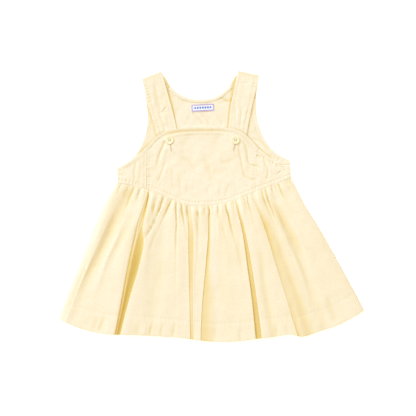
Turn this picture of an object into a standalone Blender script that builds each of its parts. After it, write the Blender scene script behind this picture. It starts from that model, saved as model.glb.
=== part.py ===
"""A child's pinafore dress laid flat, front up.

The neck points to +Y, the hem to -Y, and +Z rises out of the dress's front. Left is -X, as seen from
above. The tables and sizes are in millimetres; they become metres where meshes are made.
"""

import math
from typing import NamedTuple

import bmesh
import bpy
import numpy as np
from mathutils import Matrix, Vector

MM = 0.001

# Cloth and the order in which its layers lie on each other
CLOTH = 1.2  # thickness of one layer
GAP = 0.3  # space between two layers
SEAM = 0.36  # space between two panels along the seam that joins them
LAYER = CLOTH + GAP
BACK_LEVEL = CLOTH / 2  # middle of the cloth that lies on the table
INNER_LEVEL = BACK_LEVEL + LAYER  # middle of the cloth that lies on the back
BIB_LEVEL = INNER_LEVEL + LAYER  # middle of the bib where it lies on the straps
BIB_RISE_Y = (64.0, 83.0)  # the bib climbs onto the straps between these two places

# Seams and edges, as (x, y) points of a smooth curve
WAIST = [
    (-141.2, 34.6), (-114.2, 29.8), (-85.4, 21.9), (-56.7, 9.0), (-36.0, 2.0), (-11.4, 1.2),
    (20.0, 4.8), (53.9, 17.3), (83.4, 28.8), (119.4, 43.1),
]
BIB_TOP = [
    (-96.8, 88.8), (-81.9, 104.3), (-67.7, 112.5), (-52.2, 115.6), (-14.0, 117.0), (25.2, 116.6),
    (40.2, 113.4), (53.6, 104.7), (68.6, 88.4),
]
LEFT_SEAM = [(-97.0, 26.0), (-96.9, 60.0), (-96.8, 88.8)]
RIGHT_SEAM = [(63.4, 21.0), (64.4, 47.3), (68.6, 88.4)]
ARMHOLE_LEFT = [(-141.9, 57.2), (-129.0, 63.5), (-111.0, 75.6), (-96.8, 88.8)]
ARMHOLE_RIGHT = [(68.6, 88.4), (80.5, 78.2), (96.0, 67.8), (106.0, 66.6), (117.2, 67.8)]
SIDE_LEFT = [(-141.2, 34.6), (-141.6, 46.0), (-141.9, 57.2)]
SIDE_RIGHT = [(119.4, 43.1), (118.2, 54.0), (117.2, 67.8)]

BACK_ARMHOLE_LEFT = [
    (-141.9, 57.2), (-131.0, 62.6), (-114.5, 76.5), (-101.6, 100.7), (-96.6, 123.5), (-97.6, 152.0),
    (-103.3, 184.8),
]
BACK_ARMHOLE_RIGHT = [
    (117.2, 68.6), (97.5, 79.1), (79.4, 100.7), (70.1, 123.5), (66.4, 158.0), (69.9, 189.9),
]
NECKLINE = [
    (-71.9, 196.6), (-61.4, 179.4), (-46.1, 166.4), (-19.2, 160.0), (5.7, 163.7), (21.0, 174.0),
    (37.4, 197.5),
]
BINDING_SPAN = (0.19, 0.82)  # the part of the neckline that shows its binding, clear of the straps
BINDING_WIDTH = 5.0
BINDING_THICKNESS = 1.0

SKIRT_LEFT = [
    (-141.2, 34.6), (-154.7, 11.4), (-170.7, -21.0), (-194.6, -80.9), (-218.6, -141.8), (-228.2, -170.4),
]
SKIRT_RIGHT = [
    (119.4, 43.1), (137.1, 6.5), (161.6, -34.2), (185.9, -78.2), (210.3, -123.6), (228.2, -157.8),
]
HEM = [
    (-228.2, -170.4), (-194.6, -184.2), (-158.7, -191.4), (-116.6, -193.0), (-44.9, -197.6),
    (-3.0, -202.6), (30.0, -202.9), (63.9, -199.2), (96.0, -195.4), (121.0, -192.4), (131.0, -195.4),
    (161.6, -187.8), (185.9, -179.7), (228.2, -157.8),
]
BACK_HEM_RISE = 3.5  # the back's hem lies this far inside the front's


class Strap(NamedTuple):
    """A strap from its shoulder to its end behind the bib: one (outer, inner) pair of points a row."""

    seam: tuple  # where it is sewn to the back's shoulder, under the fold
    fold: tuple
    rows: list


STRAPS = {
    "strap_left": Strap(
        seam=((-103.4, 185.2), (-72.1, 197.0)),
        fold=((-104.6, 190.5), (-75.7, 202.0)),
        rows=[
            ((-103.3, 184.6), (-73.4, 196.4)),
            ((-99.6, 168.6), (-67.6, 176.0)),
            ((-95.4, 153.0), (-62.6, 158.0)),
            ((-90.0, 135.0), (-56.9, 136.5)),
            ((-85.4, 121.0), (-52.4, 117.5)),
            ((-81.8, 105.0), (-49.2, 102.5)),
            ((-78.6, 87.5), (-47.0, 84.5)),
        ],
    ),
    "strap_right": Strap(
        seam=((70.0, 190.3), (37.6, 197.9)),
        fold=((71.3, 195.8), (40.2, 203.2)),
        rows=[
            ((70.3, 190.0), (38.4, 197.4)),
            ((67.4, 176.0), (35.2, 180.5)),
            ((63.0, 157.5), (30.8, 160.0)),
            ((59.2, 141.5), (28.0, 141.5)),
            ((55.4, 122.5), (25.8, 122.5)),
            ((52.6, 105.0), (23.8, 103.5)),
            ((50.4, 86.5), (21.8, 84.5)),
        ],
    ),
}


class Button(NamedTuple):
    """A button's centre, and the ends of the buttonhole that it comes through."""

    centre: tuple
    hole_top: tuple
    hole_end: tuple


BUTTONS = {
    "left": Button((-62.9, 98.9), (-63.2, 100.4), (-60.1, 82.5)),
    "right": Button((35.8, 98.9), (36.0, 100.4), (33.2, 83.2)),
}
BUTTONHOLE_WIDTH = 1.8
BUTTON_RADIUS = 6.5
BUTTON_THICKNESS = 2.4
BUTTON_WELL_RADIUS = 4.3
BUTTON_WELL_DEPTH = 0.9
BUTTON_SHANK = 1.2  # the thread holds the button this far above the bib
SEW_HOLE_RADIUS = 0.75
SEW_HOLE_SPACING = 2.4  # between the centres of two neighbouring holes
THREAD_RADIUS = 0.42
SHANK_RADIUS = 0.5

LABEL_CENTRE = (-13.5, 147.0)
LABEL_SIZE = (34.0, 10.4)
LABEL_THICKNESS = 1.0
LABEL_TURN = math.radians(3.2)


class Fold(NamedTuple):
    """A fold that runs down the skirt; each triple is at the waist, half way down and at the hem."""

    kind: str
    edge: tuple  # x of the line that shows
    width: tuple
    depth: tuple
    panel: int  # points across the flatter cloth between this fold and the next


FOLDS = [
    Fold("hollow", (-117.0, -167.0, -211.0), (9.0, 12.0, 7.0), (1.0, 3.2, 1.2), 2),
    Fold("pleat", (-94.5, -126.5, -145.0), (6.0, 15.5, 9.5), (1.6, 8.6, 9.4), 1),
    Fold("hollow", (-60.0, -70.0, -84.0), (9.0, 16.0, 13.0), (1.2, 1.6, 1.2), 1),
    Fold("pleat", (-34.5, -35.4, -31.2), (6.0, 7.6, 5.6), (1.4, 4.8, 5.6), 1),
    Fold("step", (-4.0, -9.0, -15.6), (6.0, 8.5, 12.0), (1.2, 5.2, 6.4), 2),
    Fold("pleat", (36.4, 55.0, 65.0), (6.0, 8.5, 11.0), (1.6, 7.6, 9.4), 1),
    Fold("step", (61.5, 96.5, 127.0), (7.0, 13.0, 13.0), (1.4, 5.8, 7.0), 1),
    Fold("hollow", (88.0, 129.0, 169.0), (10.0, 13.0, 12.0), (1.2, 2.8, 1.6), 2),
]


class Knot(NamedTuple):
    """One point of a fold's section: places across are in widths of the fold, from its line."""

    spread: float
    lean: float  # how far the fold's overhang carries it, once the fold stands up
    height: float  # 0 on the floor of the fold, 1 on its crest


SECTIONS = {
    "pleat": [
        Knot(-0.56, 0.05, 0.97), Knot(-0.28, 0.20, 1.00), Knot(-0.12, 0.24, 0.75),
        Knot(0.02, 0.02, 0.38), Knot(0.16, -0.02, 0.10), Knot(0.42, 0.00, 0.00),
        Knot(0.68, 0.00, 0.10), Knot(0.88, 0.00, 0.55), Knot(1.05, 0.00, 0.90),
        Knot(1.34, 0.00, 1.00),
    ],
    "step": [
        Knot(-0.52, 0.04, 0.96), Knot(-0.26, 0.16, 1.00), Knot(-0.08, 0.14, 0.66),
        Knot(0.10, 0.00, 0.22), Knot(0.36, 0.00, 0.00), Knot(0.80, 0.00, 0.18),
        Knot(1.30, 0.00, 0.52),
    ],
    "hollow": [
        Knot(-0.90, 0.00, 0.90), Knot(-0.45, 0.00, 0.40), Knot(0.00, 0.00, 0.00),
        Knot(0.45, 0.00, 0.35), Knot(0.90, 0.00, 0.85),
    ],
}
SKIRT_ROWS = (0.0, 0.035, 0.09, 0.17, 0.28, 0.40, 0.52, 0.64, 0.76, 0.88, 1.0)
SWELL = (0.0, 3.6, 3.2)  # how far the cloth between the folds stands off the back, as in Fold
RISING = 0.035  # the folds begin within this share of the skirt's length
STANDING = 0.22  # and their edges overhang from here down
SIDE = [(0.0, 0.0), (1.6, 0.5), (4.5, 0.9)]  # the side seam: (way in, share of the swell)
RECESS_HEM_RISE = 0.35  # a fold's floor ends this much higher for each millimetre of its depth
BACK_SKIRT_GRID = (9, 25)


class Finish(NamedTuple):
    colour: tuple
    roughness: float
    metallic: float = 0.0


COTTON = Finish((0.985, 0.868, 0.617, 1.0), 0.85)
BUTTON_PLASTIC = Finish((0.985, 0.905, 0.590, 1.0), 0.32)
THREAD = Finish((0.955, 0.800, 0.500, 1.0), 0.70)
LABEL_SATIN = Finish((0.905, 0.890, 0.945, 1.0), 0.45)


def smooth_curve(points, per_span=16):
    """Dense points, and the length up to each, of a curve that runs smoothly through the given ones."""
    knots = np.array(points, float)
    at = np.concatenate([[0.0], np.cumsum(np.linalg.norm(np.diff(knots, axis=0), axis=1))])
    slopes = np.gradient(knots, at, axis=0)
    t = np.linspace(0.0, 1.0, per_span, endpoint=False)[:, None]
    dense = []
    for i, span in enumerate(np.diff(at)):
        dense.append(
            (2 * t**3 - 3 * t**2 + 1) * knots[i]
            + (t**3 - 2 * t**2 + t) * span * slopes[i]
            + (3 * t**2 - 2 * t**3) * knots[i + 1]
            + (t**3 - t**2) * span * slopes[i + 1]
        )
    dense = np.concatenate(dense + [knots[-1:]])
    lengths = np.concatenate([[0.0], np.cumsum(np.linalg.norm(np.diff(dense, axis=0), axis=1))])
    return dense, lengths


def along(points, shares):
    """The points of a smooth curve at the given shares of its length."""
    dense, lengths = smooth_curve(points)
    at = np.asarray(shares) * lengths[-1]
    return np.stack([np.interp(at, lengths, dense[:, axis]) for axis in (0, 1)], axis=1)


def evenly(points, count):
    """Points of a smooth curve, at even distances along it."""
    return along(points, np.linspace(0.0, 1.0, count))


def moved(points, dx=0.0, dy=0.0):
    """The points, shifted."""
    return np.asarray(points) + np.array([dx, dy])


def between(curve, x_first, x_last, count):
    """Points of a curve that runs to +X, evenly from one x to another."""
    dense, _ = smooth_curve(curve)
    x = np.linspace(x_first, x_last, count)
    return np.stack([x, np.interp(x, dense[:, 0], dense[:, 1])], axis=1)


def patch(bottom, top, left, right):
    """A grid of (x, y) points, row by row, that fills the space between four edges.

    The left and right edges run up from the bottom's ends to the top's, and are drawn onto them.
    """
    left[0], left[-1] = bottom[0], top[0]
    right[0], right[-1] = bottom[-1], top[-1]
    u = np.linspace(0.0, 1.0, len(bottom))[None, :, None]
    v = np.linspace(0.0, 1.0, len(left))[:, None, None]
    ruled = (1 - v) * bottom[None] + v * top[None]
    sides = (1 - u) * left[:, None] + u * right[:, None]
    low = (1 - u) * bottom[0] + u * bottom[-1]
    high = (1 - u) * top[0] + u * top[-1]
    return ruled + sides - (1 - v) * low - v * high


def with_level(grid, level):
    """The grid with a third coordinate: a number, or a function of the grid's x and y."""
    z = level(grid[..., 0], grid[..., 1]) if callable(level) else np.full(grid.shape[:2], level)
    return np.concatenate([grid, z[..., None]], axis=2)


def smoothstep(low, high, value):
    """0 below low and 1 above high, with a smooth rise between them."""
    t = np.clip((value - low) / (high - low), 0.0, 1.0)
    return t * t * (3 - 2 * t)


def three_way(values, v):
    """A smooth value at v from the ones at the waist, half way down and at the hem."""
    waist, middle, hem = values
    return waist * (1 - v) * (1 - 2 * v) + 4 * middle * v * (1 - v) + hem * v * (2 * v - 1)


def bodice_level(x, y):
    """The middle of the front bodice's cloth: on the back low down, on the straps at the bib's top."""
    return INNER_LEVEL + (BIB_LEVEL - INNER_LEVEL) * smoothstep(*BIB_RISE_Y, y)


def material(name, finish):
    """A plain material of the finish's colour."""
    made = bpy.data.materials.new(name)
    made.use_nodes = True
    shader = made.node_tree.nodes["Principled BSDF"]
    shader.inputs["Base Color"].default_value = finish.colour
    shader.inputs["Roughness"].default_value = finish.roughness
    shader.inputs["Metallic"].default_value = finish.metallic
    made.diffuse_color = finish.colour
    return made


def add_object(name, mesh, finish, collection):
    """A new object in the collection; a helper has no finish."""
    made = bpy.data.objects.new(name, mesh)
    collection.objects.link(made)
    if finish:
        mesh.materials.append(material(f"{name}_finish", finish))
    return made


def add_cloth(name, grid, collection, thickness=CLOTH, finish=COTTON):
    """A panel of even thickness about a grid of (x, y, z) points, whose rows run to +X."""
    rows, columns = grid.shape[:2]
    points = [tuple(point) for point in grid.reshape(-1, 3) * MM]
    faces = [
        (r * columns + c, r * columns + c + 1, (r + 1) * columns + c + 1, (r + 1) * columns + c)
        for r in range(rows - 1)
        for c in range(columns - 1)
    ]
    mesh = bpy.data.meshes.new(name)
    mesh.from_pydata(points, [], faces)
    mesh.shade_smooth()
    made = add_object(name, mesh, finish, collection)
    wall = made.modifiers.new("Wall", "SOLIDIFY")
    wall.thickness = thickness * MM
    wall.offset = 0.0
    wall.use_even_offset = True
    return made


def add_front_bodice(collection):
    """The bib and the two side fronts, a seam's width apart, above the waist seam."""
    half = SEAM / 2
    panels = {
        "bodice_front_left": (ARMHOLE_LEFT, np.array(SIDE_LEFT), moved(LEFT_SEAM, -half), (6, 5)),
        "bodice_front_centre": (BIB_TOP, moved(LEFT_SEAM, half), moved(RIGHT_SEAM, -half), (27, 9)),
        "bodice_front_right": (ARMHOLE_RIGHT, moved(RIGHT_SEAM, half), np.array(SIDE_RIGHT), (7, 5)),
    }
    made = {}
    for name, (top, left, right, (columns, rows)) in panels.items():
        grid = patch(
            moved(between(WAIST, left[0, 0], right[0, 0], columns), dy=half),
            between(top, left[-1, 0], right[-1, 0], columns),
            evenly(left, rows),
            evenly(right, rows),
        )
        made[name] = add_cloth(name, with_level(grid, bodice_level), collection)
    return made


def add_back_bodice(collection):
    """The back and its two shoulders: the neckline is the middle of the panel's top edge."""
    shoulder, neck = 4, 17
    top = np.concatenate([
        np.linspace(BACK_ARMHOLE_LEFT[-1], NECKLINE[0], shoulder)[:-1],
        evenly(NECKLINE, neck),
        np.linspace(NECKLINE[-1], BACK_ARMHOLE_RIGHT[-1], shoulder)[1:],
    ])
    bottom = moved(between(WAIST, WAIST[0][0], WAIST[-1][0], len(top)), dy=SEAM / 2)
    left = np.concatenate([evenly(SIDE_LEFT, 3)[:-1], evenly(BACK_ARMHOLE_LEFT, 12)])
    right = np.concatenate([evenly(SIDE_RIGHT, 3)[:-1], evenly(BACK_ARMHOLE_RIGHT, 12)])
    grid = patch(bottom, top, left, right)
    return add_cloth("bodice_back", with_level(grid, BACK_LEVEL), collection)


def add_neck_binding(collection):
    """A strip along the inside of the neckline, lying on the back."""
    shares = np.linspace(*BINDING_SPAN, 15)
    edge = along(NECKLINE, shares)
    step = 0.001
    forward = along(NECKLINE, shares + step) - along(NECKLINE, shares - step)
    forward /= np.linalg.norm(forward, axis=1)[:, None]
    inward = np.stack([forward[:, 1], -forward[:, 0]], axis=1)
    level = CLOTH + GAP + BINDING_THICKNESS / 2
    grid = np.stack([edge + inward * BINDING_WIDTH, edge])
    return add_cloth("neck_binding", with_level(grid, level), collection, BINDING_THICKNESS)


def strap_rows(strap):
    """Rows of (outer, inner) points in space: under the fold, round it, and down to the strap's end."""
    radius = LAYER / 2
    seam, fold = np.array(strap.seam), np.array(strap.fold)
    across = fold[1] - fold[0]
    outward = np.array([-across[1], across[0]]) / np.linalg.norm(across)
    if outward[1] < 0:
        outward = -outward
    axis = fold - outward * (radius + CLOTH / 2)
    rows = [[(*point, BACK_LEVEL) for point in seam]]
    for turn in np.linspace(0.0, math.pi, 7):
        at = axis + outward * radius * math.sin(turn)
        level = BACK_LEVEL + radius * (1 - math.cos(turn))
        rows.append([(*point, level) for point in at])
    below = [row for row in strap.rows if row[0][1] < axis[0][1] - 1.0]
    outer, inner = evenly([row[0] for row in below], 9), evenly([row[1] for row in below], 9)
    rows += [[(*a, INNER_LEVEL), (*b, INNER_LEVEL)] for a, b in zip(outer, inner)]
    return np.array(rows)


def add_straps(collection):
    """The two straps, folded at the shoulders."""
    for name, strap in STRAPS.items():
        rows = strap_rows(strap)
        columns = np.linspace(0.0, 1.0, 3)[None, :, None]
        grid = rows[:, :1] * (1 - columns) + rows[:, 1:] * columns
        if rows[0, 0, 0] > rows[0, 1, 0]:
            grid = grid[:, ::-1]
        add_cloth(name, grid[::-1], collection)


def skirt_section(v, left, right):
    """(x, height) points across the skirt's front at v, from 0 at the waist to 1 at the hem."""
    swell = three_way(SWELL, v)
    standing = smoothstep(0.0, STANDING, v)
    section = [(left + way_in, share * swell) for way_in, share in SIDE]
    panel = 1
    for fold in FOLDS:
        edge, width, depth = (three_way(value, v) for value in (fold.edge, fold.width, fold.depth))
        crest = max(depth, swell)
        knots = [
            (edge + width * (knot.spread + knot.lean * standing), crest - depth * (1 - knot.height))
            for knot in SECTIONS[fold.kind]
        ]
        section += panel_points(section[-1], knots[0], panel, swell)
        section += knots
        panel = fold.panel
    side = [(right - way_in, share * swell) for way_in, share in reversed(SIDE)]
    section += panel_points(section[-1], side[0], panel, swell)
    return np.array(section + side) * (1.0, smoothstep(0.0, RISING, v))


def panel_points(first, last, count, swell):
    """Points at the swell's height, evenly between two others."""
    shares = np.linspace(0.0, 1.0, count + 2)[1:-1]
    return [(first[0] + (last[0] - first[0]) * share, swell) for share in shares]


def add_front_skirt(collection):
    """The front of the skirt, gathered and folded: each row of points runs across all of its folds."""
    rows = np.array(SKIRT_ROWS)
    spread = patch(
        evenly(HEM, 80),
        moved(evenly(WAIST, 80), dy=-SEAM / 2),
        along(SKIRT_LEFT[::-1], 1 - rows[::-1]),
        along(SKIRT_RIGHT[::-1], 1 - rows[::-1]),
    )
    grid = []
    for v, line in zip(rows[::-1], spread):
        x, height = skirt_section(v, line[0, 0], line[-1, 0]).T
        sunk = np.clip(three_way(SWELL, v) - height, 0.0, None)
        y = np.interp(x, line[:, 0], line[:, 1]) + RECESS_HEM_RISE * sunk * v * (height < 1.5)
        grid.append(np.stack([x, y, INNER_LEVEL + height], axis=1))
    return add_cloth("skirt_front", np.array(grid), collection)


def add_back_skirt(collection):
    """The back of the skirt, flat on the table, with its hem just inside the front's."""
    rows, columns = BACK_SKIRT_GRID
    bottom, top = evenly(HEM, columns), moved(evenly(WAIST, columns), dy=-SEAM / 2)
    left, right = evenly(SKIRT_LEFT[::-1], rows), evenly(SKIRT_RIGHT[::-1], rows)
    bottom[1:-1, 1] += BACK_HEM_RISE
    return add_cloth("skirt_back", with_level(patch(bottom, top, left, right), BACK_LEVEL), collection)


def rods_mesh(name, rods, segments):
    """A mesh of separate closed cylinders, each from one point to another, in millimetres."""
    shape = bmesh.new()
    for start, end, radius in rods:
        start, end = Vector(start) * MM, Vector(end) * MM
        turn = (end - start).to_track_quat("Z", "Y").to_matrix().to_4x4()
        bmesh.ops.create_cone(
            shape,
            cap_ends=True,
            segments=segments,
            radius1=radius * MM,
            radius2=radius * MM,
            depth=(end - start).length,
            matrix=Matrix.Translation((start + end) / 2) @ turn,
        )
    mesh = bpy.data.meshes.new(name)
    shape.to_mesh(mesh)
    shape.free()
    return mesh


def box_mesh(name, size, matrix):
    """A box of the size in millimetres, placed by the matrix."""
    shape = bmesh.new()
    scale = Matrix.Diagonal((*(value * MM for value in size), 1.0))
    bmesh.ops.create_cube(shape, size=1.0, matrix=matrix @ scale)
    mesh = bpy.data.meshes.new(name)
    shape.to_mesh(mesh)
    shape.free()
    return mesh


def add_helper(name, mesh, cutters):
    """A shape that only adds to another or cuts it."""
    helper = add_object(name, mesh, None, cutters)
    helper.hide_render = True
    helper.display_type = "WIRE"
    return helper


def add_boolean(target, helper, operation):
    """Adds the helper's shape to the target, or cuts it out."""
    modifier = target.modifiers.new(helper.name, "BOOLEAN")
    modifier.operation = operation
    modifier.object = helper


def cut_buttonhole(bib, side, button, cutters):
    """The slit that the button comes through: it runs down the bib from just above the button."""
    top, end = Vector((*button.hole_top, BIB_LEVEL)) * MM, Vector((*button.hole_end, BIB_LEVEL)) * MM
    turn = (end - top).to_track_quat("Y", "Z").to_matrix().to_4x4()
    size = (BUTTONHOLE_WIDTH, (end - top).length / MM, 4 * LAYER)
    mesh = box_mesh(f"buttonhole_{side}", size, Matrix.Translation((top + end) / 2) @ turn)
    add_boolean(bib, add_helper(f"buttonhole_{side}", mesh, cutters), "DIFFERENCE")


def button_base():
    """Height of the button's underside: its thread holds it off the bib."""
    return BIB_LEVEL + CLOTH / 2 + BUTTON_SHANK


def sewing_holes(centre):
    """The centres of a button's four holes: the lower two, then the upper two."""
    half = SEW_HOLE_SPACING / 2
    corners = ((-half, -half), (half, -half), (-half, half), (half, half))
    return [(centre[0] + dx, centre[1] + dy) for dx, dy in corners]


def add_button(side, button, collection, cutters):
    """A turned disc with a raised rim, and four holes through its well."""
    r, top = BUTTON_RADIUS, BUTTON_THICKNESS
    well = top - BUTTON_WELL_DEPTH
    profile = [
        (0.0, well), (BUTTON_WELL_RADIUS, well), (BUTTON_WELL_RADIUS + 0.5, top - 0.2), (r - 1.1, top),
        (r - 0.4, top - 0.2), (r, top - 0.8), (r, 0.7), (r - 0.5, 0.15), (r - 1.3, 0.0), (0.0, 0.0),
    ]
    mesh = bpy.data.meshes.new(f"button_{side}")
    points = [(x * MM, 0.0, z * MM) for x, z in profile]
    mesh.from_pydata(points, [(i, i + 1) for i in range(len(points) - 1)], [])
    made = add_object(f"button_{side}", mesh, BUTTON_PLASTIC, collection)
    made.location = Vector((*button.centre, button_base())) * MM
    turned = made.modifiers.new("Turned", "SCREW")
    turned.steps = turned.render_steps = 28
    turned.use_merge_vertices = True
    turned.merge_threshold = 0.00001
    rods = [((*hole, button_base() - 1.0), (*hole, button_base() + top + 1.0), SEW_HOLE_RADIUS)
            for hole in sewing_holes(button.centre)]
    holes = add_helper(f"sewing_holes_{side}", rods_mesh(f"sewing_holes_{side}", rods, 10), cutters)
    add_boolean(made, holes, "DIFFERENCE")
    return made


def add_button_thread(side, button, collection, cutters):
    """Thread through the four holes, wound to a shank that goes down the buttonhole to the strap."""
    centre = button.centre
    knot_low = BIB_LEVEL + CLOTH / 2 + GAP
    knot_high = button_base() - GAP
    well = button_base() + BUTTON_THICKNESS - BUTTON_WELL_DEPTH
    bar = well + GAP + THREAD_RADIUS
    strap_top = INNER_LEVEL + CLOTH / 2
    name = f"button_thread_{side}"
    shank = [((*centre, strap_top + GAP), (*centre, knot_high - 0.05), SHANK_RADIUS)]
    made = add_object(name, rods_mesh(name, shank, 10), THREAD, collection)
    holes = sewing_holes(centre)
    pieces = {
        "knot": [((*centre, knot_low), (*centre, knot_high), SEW_HOLE_SPACING)],
        "legs": [((*hole, knot_low + 0.1), (*hole, bar + 0.1), THREAD_RADIUS) for hole in holes],
        "bars": [((*a, bar), (*b, bar), THREAD_RADIUS * 0.9) for a, b in (holes[:2], holes[2:])],
    }
    for label, rods in pieces.items():
        helper = add_helper(f"{name}_{label}", rods_mesh(f"{name}_{label}", rods, 10), cutters)
        add_boolean(made, helper, "UNION")
    return made


def add_label(collection):
    """The woven label, flat on the inside of the back."""
    level = CLOTH + GAP + LABEL_THICKNESS / 2
    place = Matrix.Translation(Vector((*LABEL_CENTRE, level)) * MM) @ Matrix.Rotation(LABEL_TURN, 4, "Z")
    mesh = box_mesh("neck_label", (*LABEL_SIZE, LABEL_THICKNESS), place)
    return add_object("neck_label", mesh, LABEL_SATIN, collection)


def new_collection(name):
    """A collection at the top of the scene."""
    made = bpy.data.collections.new(name)
    bpy.context.scene.collection.children.link(made)
    return made


def main():
    """Builds the dress in an empty scene."""
    for old in list(bpy.data.objects):
        bpy.data.objects.remove(old, do_unlink=True)
    dress, cutters = new_collection("Pinafore_dress"), new_collection("Cutters")
    bib = add_front_bodice(dress)["bodice_front_centre"]
    add_back_bodice(dress)
    add_neck_binding(dress)
    add_straps(dress)
    add_front_skirt(dress)
    add_back_skirt(dress)
    add_label(dress)
    for side, button in BUTTONS.items():
        cut_buttonhole(bib, side, button, cutters)
        add_button(side, button, dress, cutters)
        add_button_thread(side, button, dress, cutters)


if __name__ == "__main__":
    main()
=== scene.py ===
"""The looks of a child's pinafore dress that lies flat, front up, on a pale floor.

Sizes and places are in millimetres, +X to the right and +Y towards the neck, until a mesh is made.
Each panel is a grid of points in the middle of its cloth. Its rows run to +X and follow each other
to +Y. Creases, seams and gathers move the grid up or down, and a closed thin shell goes round it.
"""

import logging
import math
from abc import ABC, abstractmethod
from collections.abc import Callable
from dataclasses import dataclass
from enum import Enum
from typing import NamedTuple

import bmesh
import bpy
import numpy as np
from bpy.types import ID, Material, Mesh, Node, NodeSocket, NodeTree, Object
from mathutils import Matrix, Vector
from mathutils.bvhtree import BVHTree


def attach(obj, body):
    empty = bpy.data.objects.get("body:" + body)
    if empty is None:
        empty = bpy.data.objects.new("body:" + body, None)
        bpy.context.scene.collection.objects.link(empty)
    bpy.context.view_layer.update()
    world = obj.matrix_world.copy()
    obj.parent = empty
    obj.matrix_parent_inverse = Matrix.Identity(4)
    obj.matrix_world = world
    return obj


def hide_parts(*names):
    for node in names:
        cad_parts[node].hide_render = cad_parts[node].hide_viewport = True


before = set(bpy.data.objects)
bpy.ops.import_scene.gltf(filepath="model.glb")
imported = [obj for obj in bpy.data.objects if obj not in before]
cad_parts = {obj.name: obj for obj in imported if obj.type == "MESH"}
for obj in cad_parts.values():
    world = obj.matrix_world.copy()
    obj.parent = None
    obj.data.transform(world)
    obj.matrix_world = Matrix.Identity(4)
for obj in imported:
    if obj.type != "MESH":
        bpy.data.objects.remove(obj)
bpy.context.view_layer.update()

MM = 0.001
BODY = "root"

CLOTH = 0.9  # how thick the cloth is
GAP = 0.2  # the air between the bib and what it lies on
SEAM = 0.16  # the space between two panels at a seam
BACK_LEVEL = CLOTH / 2  # the middle of the cloth that lies on the table
INNER_LEVEL = 2.1  # the middle of the skirt's front where a fold reaches right down

Array = np.ndarray
Numbers = Array | float
Pair = tuple[float, float]
Pairs = tuple[Pair, ...]
Points = list[Pair] | Array
Waves = tuple[tuple[float, float, int], ...]  # the length, height and seed of each

WAIST: Points = [
    (-141.2, 34.6), (-114.2, 29.8), (-85.4, 21.9), (-56.7, 9), (-36, 2), (-11.4, 1.2),
    (20, 4.8), (53.9, 17.3), (83.4, 28.8), (119.4, 43.1),
]
BIB_TOP: Points = [
    (-96.8, 88.8), (-81.9, 104.3), (-67.7, 112.5), (-52.2, 115.6), (-14, 117), (25.2, 116.6),
    (40.2, 113.4), (53.6, 104.7), (68.6, 88.4),
]
LEFT_SEAM: Points = [(-97, 26), (-96.9, 60), (-96.8, 88.8)]
RIGHT_SEAM: Points = [(63.4, 21), (64.4, 47.3), (68.6, 88.4)]
ARMHOLE_LEFT: Points = [(-141.9, 57.2), (-129, 63.5), (-111, 75.6), (-96.8, 88.8)]
ARMHOLE_RIGHT: Points = [(68.6, 88.4), (80.5, 78.2), (96, 67.8), (106, 66.6), (117.2, 67.8)]
SIDE_LEFT: Points = [(-141.2, 34.6), (-141.6, 46), (-141.9, 57.2)]
SIDE_RIGHT: Points = [(119.4, 43.1), (118.2, 54), (117.2, 67.8)]
BACK_ARMHOLE_LEFT: Points = [
    (-141.9, 57.2), (-131, 62.6), (-114.5, 76.5), (-101.6, 100.7), (-96.6, 123.5), (-97.6, 152),
    (-103.3, 184.8),
]
BACK_ARMHOLE_RIGHT: Points = [
    (117.2, 68.6), (97.5, 79.1), (79.4, 100.7), (70.1, 123.5), (66.4, 158), (69.9, 189.9),
]
NECKLINE: Points = [
    (-71.9, 196.6), (-61.4, 179.4), (-46.1, 166.4), (-19.2, 160), (5.7, 163.7), (21, 174),
    (37.4, 197.5),
]
SKIRT_LEFT: Points = [
    (-141.2, 34.6), (-154.7, 11.4), (-170.7, -21), (-194.6, -80.9), (-218.6, -141.8), (-228.2, -170.4),
]
SKIRT_RIGHT: Points = [
    (119.4, 43.1), (137.1, 6.5), (161.6, -34.2), (185.9, -78.2), (210.3, -123.6), (228.2, -157.8),
]
HEM: Points = [
    (-228.2, -170.4), (-194.6, -184.2), (-158.7, -191.4), (-116.6, -193), (-44.9, -197.6),
    (-3, -202.6), (30, -202.9), (63.9, -199.2), (96, -195.4), (121, -192.4), (131, -195.4),
    (161.6, -187.8), (185.9, -179.7), (228.2, -157.8),
]

CLOTH_MAP = "cloth"
# the name of the attribute that holds each point's painted shade: darker colour in folds, creases, seam dips
# and beside the pieces over it
PAINTED_SHADE = "recess"
LOG = logging.getLogger("pinafore")


# Curves and grids


def eased(first: Numbers, last: Numbers, leaving: Numbers, arriving: Numbers, t: Numbers) -> Numbers:
    """A smooth way from one value or point to another.

    Args:
        first: Where it begins.
        last: Where it ends.
        leaving: The slope with which it leaves the first.
        arriving: The slope with which it reaches the last.
        t: Shares of the way, from 0 to 1.

    Returns:
        The values or points at those shares.
    """
    return (
        (2 * t**3 - 3 * t**2 + 1) * first
        + (t**3 - 2 * t**2 + t) * leaving
        + (3 * t**2 - 2 * t**3) * last
        + (t**3 - t**2) * arriving
    )


def lengths_along(points: Array, axis: int = 0) -> Array:
    """The length from the first point to each, along one axis of a line or grid of points."""
    step = np.linalg.norm(np.diff(points, axis=axis), axis=-1)
    return np.concatenate([np.zeros_like(np.take(step, [0], axis)), np.cumsum(step, axis)], axis)


def smooth_through(knots: Array, steps: list[int], measured: int = 2) -> Array:
    """Points of a curve that runs smoothly through its knots.

    Args:
        knots: One point a row.
        steps: How many points each span between two knots gets.
        measured: How many of a knot's numbers count in its distance from the next.

    Returns:
        The dense points, the last knot among them.
    """
    at = lengths_along(knots[:, :measured])
    slopes = np.gradient(knots, at, axis=0)
    dense = []
    for i, (span, count) in enumerate(zip(np.diff(at), steps)):
        t = np.linspace(0, 1, count, endpoint=False)[:, None]
        dense.append(eased(knots[i], knots[i + 1], span * slopes[i], span * slopes[i + 1], t))
    return np.concatenate(dense + [knots[-1:]])


def smooth_curve(points: Points) -> Array:
    """Dense points of a smooth curve through the given ones."""
    return smooth_through(np.array(points, float), [16] * (len(points) - 1))


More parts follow.
